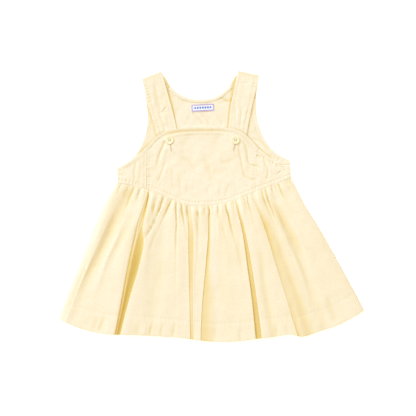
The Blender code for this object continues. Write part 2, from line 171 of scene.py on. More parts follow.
def at_shares(dense: Array, shares: Array) -> Array:
    """The points of a dense line at the given shares of its length."""
    run = lengths_along(dense)
    return np.stack([np.interp(shares * run[-1], run, dense[:, axis]) for axis in (0, 1)], axis=1)


def along(points: Points, shares: Array) -> Array:
    """The points of a smooth curve at the given shares of its length."""
    return at_shares(smooth_curve(points), shares)


def joined(curves: list[Points], shares: Array) -> Array:
    """The points of two curves, one after the other, at the given shares of their whole length."""
    first, second = map(smooth_curve, curves)
    return at_shares(np.concatenate([first, second[1:]]), shares)


def between(curve: Points, x: Array) -> Array:
    """The points of a curve that runs to +X at the given places along X."""
    dense = smooth_curve(curve)
    return np.stack([x, np.interp(x, dense[:, 0], dense[:, 1])], axis=1)


def beside(curve: Points, inset: float, shares: Array) -> Array:
    """Points beside a smooth curve.

    Args:
        curve: The curve's points.
        inset: How far they lie to the curve's right, seen along it.
        shares: The shares of the curve's length at which they lie.

    Returns:
        The points.
    """
    line = along(curve, shares)
    forward = np.gradient(line, axis=0)
    forward /= np.linalg.norm(forward, axis=1)[:, None]
    return line + inset * np.stack([forward[:, 1], -forward[:, 0]], axis=1)


def offset_line(curve: Points, inset: float, first: float = 0.0, last: float = 1.0) -> Array:
    """A line beside a smooth curve.

    Args:
        curve: The curve's points.
        inset: How far the line lies to the curve's right, seen along it.
        first: The share of the curve's length at which the line begins.
        last: The share at which it ends.

    Returns:
        The line's points, about 3 mm apart.
    """
    count = max(int(lengths_along(smooth_curve(curve))[-1] * (last - first) / 3.0), 4)
    return beside(curve, inset, np.linspace(first, last, count))


def smoothstep(low: float, high: float, value: Numbers) -> Numbers:
    """A soft step from 0 at low to 1 at high."""
    t = np.clip((np.asarray(value, float) - low) / (high - low), 0, 1)
    return t * t * (3 - 2 * t)


def down_skirt(values: tuple[float, ...], v: float) -> float:
    """A smooth value at one height of the skirt.

    Args:
        values: The values, evenly spaced from the waist to the hem.
        v: 0 at the waist and 1 at the hem.

    Returns:
        The value there.
    """
    place = v * (len(values) - 1)
    i = min(int(place), len(values) - 2)
    slopes = np.gradient(np.array(values, float))
    return float(eased(values[i], values[i + 1], slopes[i], slopes[i + 1], place - i))


def rim_shares(width: float) -> Array:
    """Three places in a rounded edge of some width: at its brink, and close to it."""
    return np.array([0.0, 0.13, 0.45]) * width


def shares_with_edges(length: float, step: float, rim: float = CLOTH / 2) -> Array:
    """Places along a panel, as shares of its length: close together in its rounded edges.

    Args:
        length: The panel's length.
        step: The space between two places away from the edges.
        rim: How wide a rounded edge is.

    Returns:
        The shares, from 0 to 1.
    """
    edge = rim_shares(rim / length)
    inner = np.linspace(rim / length, 1 - rim / length, max(int(length / step), 3))
    return np.concatenate([edge, inner, 1 - edge[::-1]])


def patch(bottom: Array, top: Array, left: Array, right: Array,
          u: Array, v: Array) -> Array:
    """A grid of points that fills the space between four edges.

    Args:
        bottom: The lower edge's points, at the shares u.
        top: The upper edge's points, at the shares u.
        left: The left edge's points, at the shares v, upwards.
        right: The right edge's points, at the shares v, upwards.
        u: Places across, from 0 to 1.
        v: Places up, from 0 to 1.

    Returns:
        Rows of (x, y) points, from the lower edge to the upper one.
    """
    left[0], left[-1] = bottom[0], top[0]
    right[0], right[-1] = bottom[-1], top[-1]
    u, v = u[None, :, None], v[:, None, None]
    ruled = (1 - v) * bottom[None] + v * top[None]
    sides = (1 - u) * left[:, None] + u * right[:, None]
    low = (1 - u) * bottom[0] + u * bottom[-1]
    high = (1 - u) * top[0] + u * top[-1]
    return ruled + sides - (1 - v) * low - v * high


def with_height(grid: Array, height: Numbers) -> Array:
    """A flat grid with its heights."""
    return np.concatenate([grid, np.broadcast_to(height, grid.shape[:2])[..., None]], axis=2)


def undulation(grid: Array, wave: float, height: float, seed: int) -> Array:
    """A gentle unevenness of cloth that has been washed and pressed.

    Args:
        grid: The panel's points.
        wave: The usual length of a wave.
        height: The usual height of a wave.
        seed: Which of the many such surfaces it is.

    Returns:
        The height at each point.
    """
    chance = np.random.default_rng(seed)
    waves = 7
    turns = chance.uniform(0, math.pi, waves)
    sizes = chance.uniform(0.7, 1.6, waves)
    phases = chance.uniform(0, 2 * math.pi, waves)
    x, y = grid[..., 0], grid[..., 1]
    total = np.zeros_like(x)
    for turn, size, phase in zip(turns, sizes, phases):
        across = x * math.cos(turn) + y * math.sin(turn)
        down = x * math.sin(turn) - y * math.cos(turn)
        bent = across + 0.25 * wave * np.sin(down / (1.7 * wave * size))
        total += np.sin(2 * math.pi * bent / (wave * size) + phase)
    return height * total / math.sqrt(waves)


# Creases, gathers and seams

FADED = 2.6  # how many of its widths away from its line a crease has died away
TROUGH_PAINTED_SHADE = 0.22  # how deep the painted shade of a trough is that is 1 mm wide and deep
SEAM_PAINTED_SHADE = 0.2  # how deep the painted shade of a seam's dip is for each millimetre, and at the most
TUCK = (0.45, 2.0)  # how wide and how deep a gather's tuck is, beside what its row says
RIDGE = (0.9, 1.5)  # and the same for a ridge
LONG_TUCK = -1.0  # a tuck that is lower than this goes on faintly


def rows(kind: type, *table: tuple) -> list:
    """The rows of a table, each as the named tuple of its columns."""
    return [kind(*row) for row in table]


class Crease(NamedTuple):
    """A soft trough or ridge along a smooth line in the cloth."""

    points: Points
    width: float
    height: float  # above the cloth, so a trough is less than 0
    right: float = 1.0  # how wide its right side is beside its left, seen along it
    start: float = 0.25  # the share of its length in which it comes in
    end: float = 0.45  # and the one in which it dies away
    grow: float = 1.0  # how many times as wide it is at its end


class Gather(NamedTuple):
    """A tuck that the gathering thread leaves in the cloth, from the waist seam down."""

    x: float
    drift: float
    length: float
    width: float
    height: float
    right: float = 1.0


class Nearest(NamedTuple):
    """How the places near a line lie to it."""

    near: Array  # which of all the places they are
    distance: Array
    at: Array  # how far along the line its nearest point is
    right: Array  # whether they lie to its right, seen along it


def near_line(line: Array, lengths: Array, grid: Array, reach: float) -> Nearest:
    """Finds the places near a line.

    Args:
        line: The line's points.
        lengths: How far along the line each of them is.
        grid: The places.
        reach: How far from the line's box a place may lie.

    Returns:
        How the places near it lie to it.
    """
    near = ((grid > line.min(axis=0) - reach) & (grid < line.max(axis=0) + reach)).all(axis=-1)
    step = np.diff(line, axis=0)
    off = grid[near][:, None] - line[:-1]
    t = np.clip((off * step).sum(axis=2) / (step**2).sum(axis=1), 0, 1)
    gap = off - t[..., None] * step
    distance = np.linalg.norm(gap, axis=2)
    nearest = distance.argmin(axis=1)
    pick = np.arange(len(nearest)), nearest
    turned = step[nearest, 0] * gap[pick][:, 1] - step[nearest, 1] * gap[pick][:, 0]
    at = lengths[nearest] + t[pick] * np.diff(lengths)[nearest]
    return Nearest(near, distance[pick], at, turned < 0)


def crease_relief(grid: Array, creases: list[Crease]) -> Array:
    """The height that creases add to a panel.

    Args:
        grid: The panel's points.
        creases: The creases.

    Returns:
        The height at each point.
    """
    total = np.zeros(grid.shape[:2])
    for crease in creases:
        dense = smooth_curve(crease.points)
        lengths = lengths_along(dense)[::4]
        reach = FADED * crease.width * max(crease.right, 1.0) * max(crease.grow, 1.0)
        found = near_line(dense[::4], lengths / lengths[-1], grid[..., :2], reach)
        width = crease.width * (1 + (crease.grow - 1) * found.at)
        width = np.where(found.right, width * crease.right, width)
        rise = 1.0 if crease.start <= 0 else smoothstep(0, crease.start, found.at)
        fall = 1.0 if crease.end <= 0 else 1 - smoothstep(1 - crease.end, 1.0, found.at)
        total[found.near] += crease.height * np.exp(-((found.distance / width) ** 2)) * rise * fall
    return total


def gather_creases(gathers: list[Gather], seam: Points) -> list[Crease]:
    """The creases of a row of gathers.

    Args:
        gathers: The gathers, with their places along the seam.
        seam: The seam that they hang from.

    Returns:
        A crease for each, at its full height from the seam, and a faint one on from each deep tuck.
    """
    made = []
    for gather in gathers:
        top = between(seam, np.array([gather.x]))[0]
        wiggle = 0.7 * math.sin(gather.x * 2.3)
        points = [
            (gather.x + gather.drift * share**1.2 + wiggle * bend, top[1] + 1.0 - gather.length * share)
            for share, bend in ((0.0, 0.0), (0.16, 1.0), (0.34, -0.6), (0.62, 0.2), (1.0, 0.0))
        ]
        wide, deep = TUCK if gather.height < 0 else RIDGE
        made.append(Crease(points, wide * gather.width, deep * gather.height, gather.right, 0.0, 0.8, 2.2))
        if gather.height < LONG_TUCK:
            (x, y), (end_x, end_y) = points[2], points[-1]
            tail = [(x + (end_x - x) * share, y + (end_y - y) * share) for share in (0.0, 0.8, 1.6, 2.4)]
            made.append(Crease(tail, 1.1, 0.45 * gather.height, 1.0, 0.3, 0.7, 1.6))
    return made


def painted_trough_shades(creases: list[Crease]) -> list[Crease]:
    """The painted shade in the troughs among some creases.

    Args:
        creases: The creases.

    Returns:
        A crease for each trough, whose height is its painted shade.
    """
    return [
        crease._replace(height=-TROUGH_PAINTED_SHADE * crease.height / math.sqrt(crease.width))
        for crease in creases
        if crease.height < 0
    ]


class Seam(NamedTuple):
    """A line of topstitching: the cloth dips along it and puckers between its stitches."""

    line: Array
    depth: float = 0.35
    width: float = 0.9
    pucker: float = 0.0
    stitched: bool = True


def seam_relief(grid: Array, seams: list[Seam], seed: int) -> Array:
    """The dips of topstitching and the small puckers beside it.

    Args:
        grid: The panel's points.
        seams: The lines of topstitching.
        seed: Which unevenness its puckers have.

    Returns:
        The height at each point.
    """
    total = np.zeros(grid.shape[:2])
    pitch, reach, spread = 4.6, 4.5, 2.8
    for number, seam in enumerate(seams):
        found = near_line(seam.line, lengths_along(seam.line), grid[..., :2], reach)
        at, away = found.at, found.distance
        uneven = 1.3 * np.sin(at / 11.0 + seed + number) + 0.8 * np.sin(at / 5.3 + 2.0 * number)
        ripple = np.sin(2 * math.pi * (at + uneven) / pitch) * (0.7 + 0.3 * np.sin(at / 17.0 + number))
        total[found.near] -= seam.depth * np.exp(-((away / seam.width) ** 2))
        total[found.near] += 1.7 * seam.pucker * ripple * np.exp(-((away / spread) ** 2))
    return total


class Relief(NamedTuple):
    """All that moves a panel's cloth up or down and paints shade on it."""

    creases: list[Crease]
    waves: Waves  # its unevenness
    shadows: list[Crease] = []  # where less light reaches it: their heights are painted shadow
    seams: list[Seam] = []
    seed: int = 0  # which unevenness its puckers have
    deeper: float = 1.0  # how much deeper its creases are than their table says
    trough_shade_strength: float = 1.0  # how strongly shade is painted in their troughs

    def on(self, grid: Array) -> tuple[Array, Array]:
        """What it adds to a panel.

        Args:
            grid: The panel's points.

        Returns:
            The height at each point, and the painted shade.
        """
        sewn = seam_relief(grid, self.seams, self.seed)
        height = crease_relief(grid, self.creases) * self.deeper + sewn
        height += sum(undulation(grid, *wave) for wave in self.waves)
        tone = crease_relief(grid, painted_trough_shades(self.creases)) * self.trough_shade_strength + crease_relief(grid, self.shadows)
        return height, tone + np.clip(-SEAM_PAINTED_SHADE * sewn, 0.0, SEAM_PAINTED_SHADE)


# Nodes


def operator(operation: str, swap: bool = False) -> Callable:
    """A method that puts two numbers through one Math node; swap puts its own one last."""
    return lambda self, other: self.nodes.value(operation, *((other, self) if swap else (self, other)))


@dataclass(eq=False)
class Value:
    """A number in a material's nodes: an operator on it adds a Math node."""

    nodes: "Nodes"
    socket: NodeSocket

    __add__ = __radd__ = operator("ADD")
    __mul__ = __rmul__ = operator("MULTIPLY")
    __sub__ = operator("SUBTRACT")
    __rsub__ = operator("SUBTRACT", swap=True)
    __truediv__ = operator("DIVIDE")
    __lt__ = operator("LESS_THAN")

    def __abs__(self) -> "Value":
        """The number without its sign."""
        return self.nodes.value("ABSOLUTE", self)


Input = Value | NodeSocket | ID | float | tuple[float, ...]


class NodeMaker:
    """A tree to which nodes are added."""

    tree: NodeTree

    def node(self, kind: str, settings: dict | None = None, **inputs: Input) -> Node:
        """Adds a node.

        Args:
            kind: The node's type.
            settings: Its settings, such as its operation, which are set first.
            inputs: The values or links of its sockets; Base_Color stands for Base Color, and
                in0 for the first socket.

        Returns:
            The node.
        """
        made = self.tree.nodes.new(kind)
        for key, setting in (settings or {}).items():
            setattr(made, key, setting)
        for key, given in inputs.items():
            socket = made.inputs[int(key[2:])] if key[:2] == "in" else made.inputs[key.replace("_", " ")]
            if isinstance(given, Value):
                given = given.socket
            if isinstance(given, NodeSocket):
                self.tree.links.new(given, socket)
            else:
                socket.default_value = given
        return made


class Nodes(NodeMaker):
    """The nodes of one material."""

    def __init__(self, name: str) -> None:
        """Starts a material with no nodes.

        Args:
            name: The material's name.
        """
        self.material = bpy.data.materials.new(name)
        self.material.use_nodes = True
        self.tree = self.material.node_tree
        self.tree.nodes.clear()

    def value(self, operation: str, *values: Value | float) -> Value:
        """The result of one Math node."""
        inputs = {f"in{i}": value for i, value in enumerate(values)}
        return Value(self, self.node("ShaderNodeMath", {"operation": operation}, **inputs).outputs[0])

    def mix(self, share: Value, first: Input, second: Input) -> NodeSocket:
        """A colour between two others, by a share from 0 to 1."""
        settings = {"data_type": "RGBA", "clamp_factor": True}
        return self.node("ShaderNodeMix", settings, in0=share, in6=first, in7=second).outputs[2]

    def noise(self, place: NodeSocket, scale: float, detail: float = 2.0) -> Value:
        """Soft noise about 0.5 at a place."""
        made = self.node("ShaderNodeTexNoise", Vector=place, Scale=scale, Detail=detail)
        return Value(self, made.outputs[0])

    def ramp(self, number: Value, low: float, high: float) -> Value:
        """0 at low and 1 at high, with a soft step between them."""
        made = self.node("ShaderNodeMapRange", {"interpolation_type": "SMOOTHSTEP"}, Value=number,
                         From_Min=low, From_Max=high)
        return Value(self, made.outputs[0])

    def object_place(self) -> NodeSocket:
        """The place on the object, in metres."""
        return self.node("ShaderNodeTexCoord").outputs["Object"]

    def cloth_place(self) -> NodeSocket:
        """The place on the flat cloth, in metres."""
        return self.node("ShaderNodeUVMap", {"uv_map": CLOTH_MAP}).outputs[0]

    def split(self, vector: NodeSocket) -> tuple[Value, Value]:
        """The first two numbers of a vector."""
        made = self.node("ShaderNodeSeparateXYZ", Vector=vector)
        return Value(self, made.outputs[0]), Value(self, made.outputs[1])

    def bump(self, height: Value, distance: float, strength: float) -> NodeSocket:
        """A normal from a height between 0 and 1."""
        return self.node("ShaderNodeBump", Height=height, Distance=distance, Strength=strength).outputs[0]

    def surface(self, **inputs: Input) -> Material:
        """Ends the tree with a shader of these inputs, and gives the material."""
        shader = self.node("ShaderNodeBsdfPrincipled", **inputs)
        self.node("ShaderNodeOutputMaterial", Surface=shader.outputs[0])
        return self.material


# Finishes

Colour = tuple[float, float, float, float]


class Finish(ABC):
    """One finish, with its colours and sizes."""

    @abstractmethod
    def make(self, name: str) -> Material:
        """Makes its material.

        Args:
            name: The material's name.

        Returns:
            The material.
        """


@dataclass(frozen=True)
class CottonTwill(Finish):
    """A soft pale yellow cotton twill, with shade painted into its colour in folds, creases, seam dips and
    beside the pieces over it.
    """

    colour: Colour = (0.98, 0.888, 0.69, 1.0)
    warm: Colour = (0.98, 0.874, 0.662, 1.0)
    # painted shade: the colour that the cloth is drawn towards where its painted-shade attribute is high; the
    # thick yarns take a little of it too
    shade: Colour = (0.88, 0.665, 0.24, 1.0)
    # painted shade: the colour of the deepest folds
    deep: Colour = (0.735, 0.53, 0.15, 1.0)
    shaded: float = 0.6  # how much painted shade a point needs for the shade's colour to be reached
    slubbed: float = 0.17  # how much of the shade the thick yarns have
    rib: float = 0.0008
    roughness: float = 0.88
    yarn_scale: float = 900.0
    slub_scale: float = 300.0
    cloud_scale: float = 16.0
    relief: float = 0.00022

    def make(self, name: str) -> Material:
        """The material: a twill line, uneven yarns, faint clouds of tone, and painted shade."""
        nodes = Nodes(name)
        place = nodes.cloth_place()
        across, down = nodes.split(place)
        lines = nodes.value("SINE", (across + down) * (2 * math.pi / self.rib))
        yarns = nodes.noise(place, self.yarn_scale, 3.0)
        slubs = nodes.noise(place, self.slub_scale, 2.0)
        clouds = nodes.noise(nodes.object_place(), self.cloud_scale, 3.0)
        tone = nodes.mix(nodes.ramp(clouds, 0.38, 0.66), self.colour, self.warm)
        tone = nodes.mix(nodes.ramp(slubs, 0.4, 0.72) * self.slubbed, tone, self.shade)
        # painted shade: the attribute draws the colour towards the shade colour, then the deep one
        hidden = Value(nodes, nodes.node("ShaderNodeAttribute", {"attribute_name": PAINTED_SHADE}).outputs["Fac"])
        tone = nodes.mix(hidden / self.shaded, tone, self.shade)
        tone = nodes.mix((hidden - self.shaded) / (1 - self.shaded), tone, self.deep)
        return nodes.surface(
            Base_Color=tone,
            Roughness=self.roughness - yarns * 0.08,
            Normal=nodes.bump(lines * 0.25 + yarns * 0.8 + slubs * 0.5, self.relief, 0.3),
            Specular_IOR_Level=0.18,
            Sheen_Weight=0.06,
            Sheen_Roughness=0.55,
        )


@dataclass(frozen=True)
class SewingThread(Finish):
    """Twisted polyester thread in the cloth's own colour."""

    colour: Colour = (0.97, 0.855, 0.61, 1.0)
    shade: Colour = (0.93, 0.77, 0.48, 1.0)
    twist_scale: float = 2600.0
    relief: float = 0.0001

    def make(self, name: str) -> Material:
        """The material: a fine uneven twist with a slight shine."""
        nodes = Nodes(name)
        twist = nodes.noise(nodes.object_place(), self.twist_scale, 1.0)
        return nodes.surface(
            Base_Color=nodes.mix(nodes.ramp(twist, 0.35, 0.75), self.colour, self.shade),
            Roughness=0.5 + twist * 0.2,
            Normal=nodes.bump(twist, self.relief, 0.4),
            Sheen_Weight=0.15,
        )


@dataclass(frozen=True)
class DyedResin(Finish):
    """The cast resin of the buttons: pale yellow, faintly pearly, polished by wear."""

    colour: Colour = (0.97, 0.87, 0.53, 1.0)
    cloud: Colour = (0.985, 0.92, 0.66, 1.0)
    pearl_scale: float = 260.0
    scuff_scale: float = 1500.0
    scuff_depth: float = 0.00005

    def make(self, name: str) -> Material:
        """The material: soft pearly clouds under a smooth worn surface."""
        nodes = Nodes(name)
        place = nodes.object_place()
        pearl = nodes.noise(place, self.pearl_scale, 3.0)
        scuffs = nodes.noise(place, self.scuff_scale, 4.0)
        return nodes.surface(
            Base_Color=nodes.mix(nodes.ramp(pearl, 0.35, 0.7), self.colour, self.cloud),
            Roughness=0.5 + nodes.ramp(scuffs, 0.45, 0.8) * 0.22,
            Normal=nodes.bump(scuffs, self.scuff_depth, 0.2),
            Coat_Weight=0.05,
            Coat_Roughness=0.15,
        )


@dataclass(frozen=True)
class LabelSatin(Finish):
    """White woven satin with a double lilac border and a row of small blue lozenges."""

    width: float
    height: float
    ground: Colour = (0.96, 0.96, 0.985, 1.0)
    border: Colour = (0.5, 0.36, 0.7, 1.0)
    motif: Colour = (0.11, 0.25, 0.68, 1.0)
    border_at: Pair = (0.0004, 0.0013)  # from the edge to the middles of its two lines
    line: float = 0.00072
    motif_pitch: float = 0.0038
    motif_size: float = 0.0018
    motif_reach: float = 0.0142
    rib: float = 0.00035
    relief: float = 0.0001

    def make(self, name: str) -> Material:
        """The material: the border and lozenges are woven in, over fine satin ribs."""
        nodes = Nodes(name)
        across, down = nodes.split(nodes.cloth_place())
        rim = nodes.value("MINIMUM", self.width / 2 - abs(across), self.height / 2 - abs(down))
        lines = nodes.value(
            "MAXIMUM",
            abs(rim - self.border_at[0]) < self.line / 2 * 1.3,
            abs(rim - self.border_at[1]) < self.line / 2,
        )
        cell = nodes.value("PINGPONG", across, self.motif_pitch / 2)
        lozenge = (cell + abs(down) * 0.85) < self.motif_size
        lozenge = lozenge * (abs(across) < self.motif_reach)
        ribs = nodes.value("SINE", down * (2 * math.pi / self.rib))
        tone = nodes.mix(lines, self.ground, self.border)
        return nodes.surface(
            Base_Color=nodes.mix(lozenge, tone, self.motif),
            Roughness=0.42 + ribs * 0.06,
            Normal=nodes.bump(ribs * 0.5 + lines * 0.4 + lozenge * 0.4, self.relief, 0.3),
            Sheen_Weight=0.1,
        )


@dataclass(frozen=True)
class PaperSweep(Finish):
    """The white paper that the dress lies on."""

    colour: Colour = (0.93, 0.93, 0.93, 1.0)
    glow: float = 0.6
    grain_scale: float = 60.0

    def make(self, name: str) -> Material:
        """The material: matt and evenly lit from behind, so it stays white round the dress."""
        nodes = Nodes(name)
        grain = nodes.noise(nodes.object_place(), self.grain_scale, 2.0)
        return nodes.surface(
            Base_Color=self.colour,
            Roughness=0.92 + grain * 0.05,
            Specular_IOR_Level=0.1,
            Emission_Color=(1.0, 1.0, 1.0, 1.0),
            Emission_Strength=self.glow,
        )


# Cloth shells and the pile that they make


def blurred(field: Array, sigma: float) -> Array:
    """A raster under a soft round blur.

    Args:
        field: The raster.
        sigma: How wide the blur is, in cells.

    Returns:
        The blurred raster.
    """
    reach = max(int(3 * sigma), 1)
    weights = np.exp(-0.5 * (np.arange(-reach, reach + 1) / sigma) ** 2)
    weights /= weights.sum()
    for axis in (0, 1):
        field = sum(w * np.roll(field, k - reach, axis) for k, w in enumerate(weights))
    return field


def sampled(field: Array, places: Array) -> Array:
    """A raster's values at places that lie between its cells.

    Args:
        field: The raster.
        places: The places, in cells.

    Returns:
        The value at each.
    """
    places = np.clip(places, 0, np.array(field.shape) - 1.001)
    cells = places.astype(int)
    (i, j), (di, dj) = np.moveaxis(cells, -1, 0), np.moveaxis(places - cells, -1, 0)
    low = field[i, j] * (1 - dj) + field[i, j + 1] * dj
    high = field[i + 1, j] * (1 - dj) + field[i + 1, j + 1] * dj
    return low * (1 - di) + high * di


@dataclass
class Pile:
    """How high the cloth already lies on the table, on a square raster."""

    cell: float = 0.8
    low: Pair = (-262.0, -236.0)
    size: tuple[int, int] = (655, 590)

    def __post_init__(self) -> None:
        """Starts with an empty table."""
        self.top = np.zeros(self.size)

    def places(self, grid: Array) -> Array:
        """The places of points, in cells of the raster."""
        return (grid[..., :2] - self.low) / self.cell

    def lay(self, grid: Array) -> None:
        """Puts a piece on the pile.

        Args:
            grid: The points of its upper face.
        """
        for axis in (0, 1):
            first = np.take(grid, range(grid.shape[axis] - 1), axis)
            second = np.take(grid, range(1, grid.shape[axis]), axis)
            grid = np.concatenate([grid, (first + second) / 2], axis)
        i, j = np.moveaxis(np.rint(self.places(grid)).astype(int), -1, 0)
        np.maximum.at(self.top, (i, j), grid[..., 2])

    def under(self, grid: Array, spread: float, soft: float) -> Array:
        """How high cloth has to lie to clear the pile.

        Args:
            grid: The cloth's points.
            spread: How far round a step in the pile the cloth bridges.
            soft: How softly it comes down from there.

        Returns:
            The height at each point.
        """
        raised = self.top
        reach = max(int(round(spread / self.cell)), 1)
        for axis in (0, 1):
            raised = np.max([np.roll(raised, shift, axis) for shift in range(-reach, reach + 1)], axis=0)
        return sampled(blurred(raised, soft / self.cell), self.places(grid))


def grid_normals(grid: Array) -> Array:
    """The upward normals of a grid of points."""
    normals = np.cross(np.gradient(grid, axis=1), np.gradient(grid, axis=0))
    return normals / np.maximum(np.linalg.norm(normals, axis=2), 1e-9)[..., None]


def both_sides(upper: Array, lower: Array) -> Array:
    """The values of a shell's upper points, then of its inner lower ones, one row each."""
    depth = upper.shape[2]
    return np.concatenate([upper.reshape(-1, depth), lower[1:-1, 1:-1].reshape(-1, depth)])


@dataclass
class ClothShell:
    """One panel of cloth: a closed thin shell round the grid in its middle."""

    name: str
    middle: Array
    tone: Numbers = 0.0  # how deep its painted shade is, from 0 to 1, with the skirt's even deeper tone all over
    thickness: float = CLOTH
    rim: float = CLOTH / 2

    def half(self) -> Array:
        """Half the thickness at each point: the edges are rounded off."""
        inset = []
        for axis in (0, 1):
            run = lengths_along(self.middle, axis)
            inset += [run, np.take(run, [-1], axis) - run]
        q = 1 - np.clip(np.min(inset, axis=0) / self.rim, 0, 1)
        return self.thickness / 2 * np.sqrt(np.clip(1 - q**2, 0, 1))

    def flat_place(self) -> Array:
        """Each point's place on the flat cloth, in metres, from the middle of the panel."""
        across = lengths_along(self.middle, 1)
        down = lengths_along(self.middle, 0)
        rows, columns = self.middle.shape[:2]
        across = across - across[:, [columns // 2]]
        down = down - down[[rows // 2]]
        return np.stack([across, down], axis=2) * MM

    def upper(self) -> Array:
        """The points of its upper face."""
        return self.middle + grid_normals(self.middle) * self.half()[..., None]

    def faces(self) -> list[list[int]]:
        """The faces: their corners are counted over the upper points, then the inner lower ones."""
        rows, columns = self.middle.shape[:2]
        top = np.arange(rows * columns).reshape(rows, columns)
        under = top.copy()
        inner = (rows - 2, columns - 2)
        under[1:-1, 1:-1] = rows * columns + np.arange(inner[0] * inner[1]).reshape(inner)
        cells = (slice(None, -1), slice(1, None))
        quads = np.concatenate([
            np.stack([index[cells[r], cells[c]].ravel() for r, c in order], axis=1)
            for index, order in (
                (top, [(0, 0), (0, 1), (1, 1), (1, 0)]),
                (under, [(0, 0), (1, 0), (1, 1), (0, 1)]),
            )
        ])
        outermost = np.isin(quads, top[[0, 0, -1, -1], [0, -1, 0, -1]])
        split = outermost.any(axis=1)
        made = quads[~split].tolist()
        for quad, at in zip(quads[split], outermost[split].argmax(axis=1)):
            a, b, c, d = np.roll(quad, -at).tolist()
            made += [[a, b, c], [a, c, d]]
        return made

    def build(self, material: Material) -> Object:
        """Makes the panel.

        Args:
            material: Its finish.

        Returns:
            Its object, with its place in its mesh.
        """
        upper = self.upper()
        points = both_sides(upper, 2 * self.middle - upper) * MM
        mesh = bpy.data.meshes.new(self.name)
        mesh.from_pydata(points.tolist(), [], self.faces())
        flat = self.flat_place()
        loops = np.empty(len(mesh.loops), int)
        mesh.loops.foreach_get("vertex_index", loops)
        flat = both_sides(flat, flat)[loops]
        mesh.uv_layers.new(name=CLOTH_MAP).data.foreach_set("uv", flat.ravel())
        # painted shade: each point's share of it goes on the mesh for the cotton's finish
        tone = np.broadcast_to(self.tone, self.middle.shape[:2])[..., None]
        tone = both_sides(tone, tone).ravel().astype(np.float32)
        mesh.attributes.new(PAINTED_SHADE, "FLOAT", "POINT").data.foreach_set("value", tone)
        mesh.shade_smooth()
        mesh.materials.append(material)
        mesh.update()
        return placed(self.name, mesh)


def placed(name: str, data: ID) -> Object:
    """Links the object of a mesh, light or camera to the scene, at the origin."""
    made = bpy.data.objects.new(name, data)
    bpy.context.scene.collection.objects.link(made)
    return made


def mesh_of(name: str, parts: list[tuple[list, list]]) -> Mesh:
    """One mesh of several closed parts.

    Args:
        name: The mesh's name.
        parts: The points, in millimetres, and the faces of each part.

    Returns:
        The mesh.
    """
    points, faces = [], []
    for part_points, part_faces in parts:
        first = len(points)
        points += [tuple(np.asarray(point) * MM) for point in part_points]
        faces += [tuple(first + corner for corner in face) for face in part_faces]
    mesh = bpy.data.meshes.new(name)
    mesh.from_pydata(points, [], faces)
    mesh.shade_smooth()
    return mesh


def cut_out(piece: Object, shape: Mesh) -> None:
    """Takes a shape out of a piece, and splits the many-sided faces that this leaves.

    Args:
        piece: The piece.
        shape: The closed shape.
    """
    cutter = placed("cutter", shape)
    modifier = piece.modifiers.new("Cut", "BOOLEAN")
    modifier.operation = "DIFFERENCE"
    modifier.solver = "EXACT"
    modifier.object = cutter
    evaluated = piece.evaluated_get(bpy.context.evaluated_depsgraph_get())
    opened = bpy.data.meshes.new_from_object(evaluated)
    split = bmesh.new()
    split.from_mesh(opened)
    bmesh.ops.triangulate(split, faces=[face for face in split.faces if len(face.verts) > 4])
    split.to_mesh(opened)
    split.free()
    piece.modifiers.clear()
    piece.data = opened
    bpy.data.objects.remove(cutter, do_unlink=True)


def dress_up(piece: Object, slot: str, *replaced: str) -> Object:
    """Tells the frame what a piece rides on and stands for.

    Args:
        piece: The finished piece.
        slot: The record's material slot; not used.
        replaced: The CAD nodes that it stands for.

    Returns:
        The piece.
    """
    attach(piece, BODY)
    if replaced:
        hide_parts(*replaced)
    LOG.info("%s: %d faces", piece.name, len(piece.data.polygons))
    return piece


# Stitches


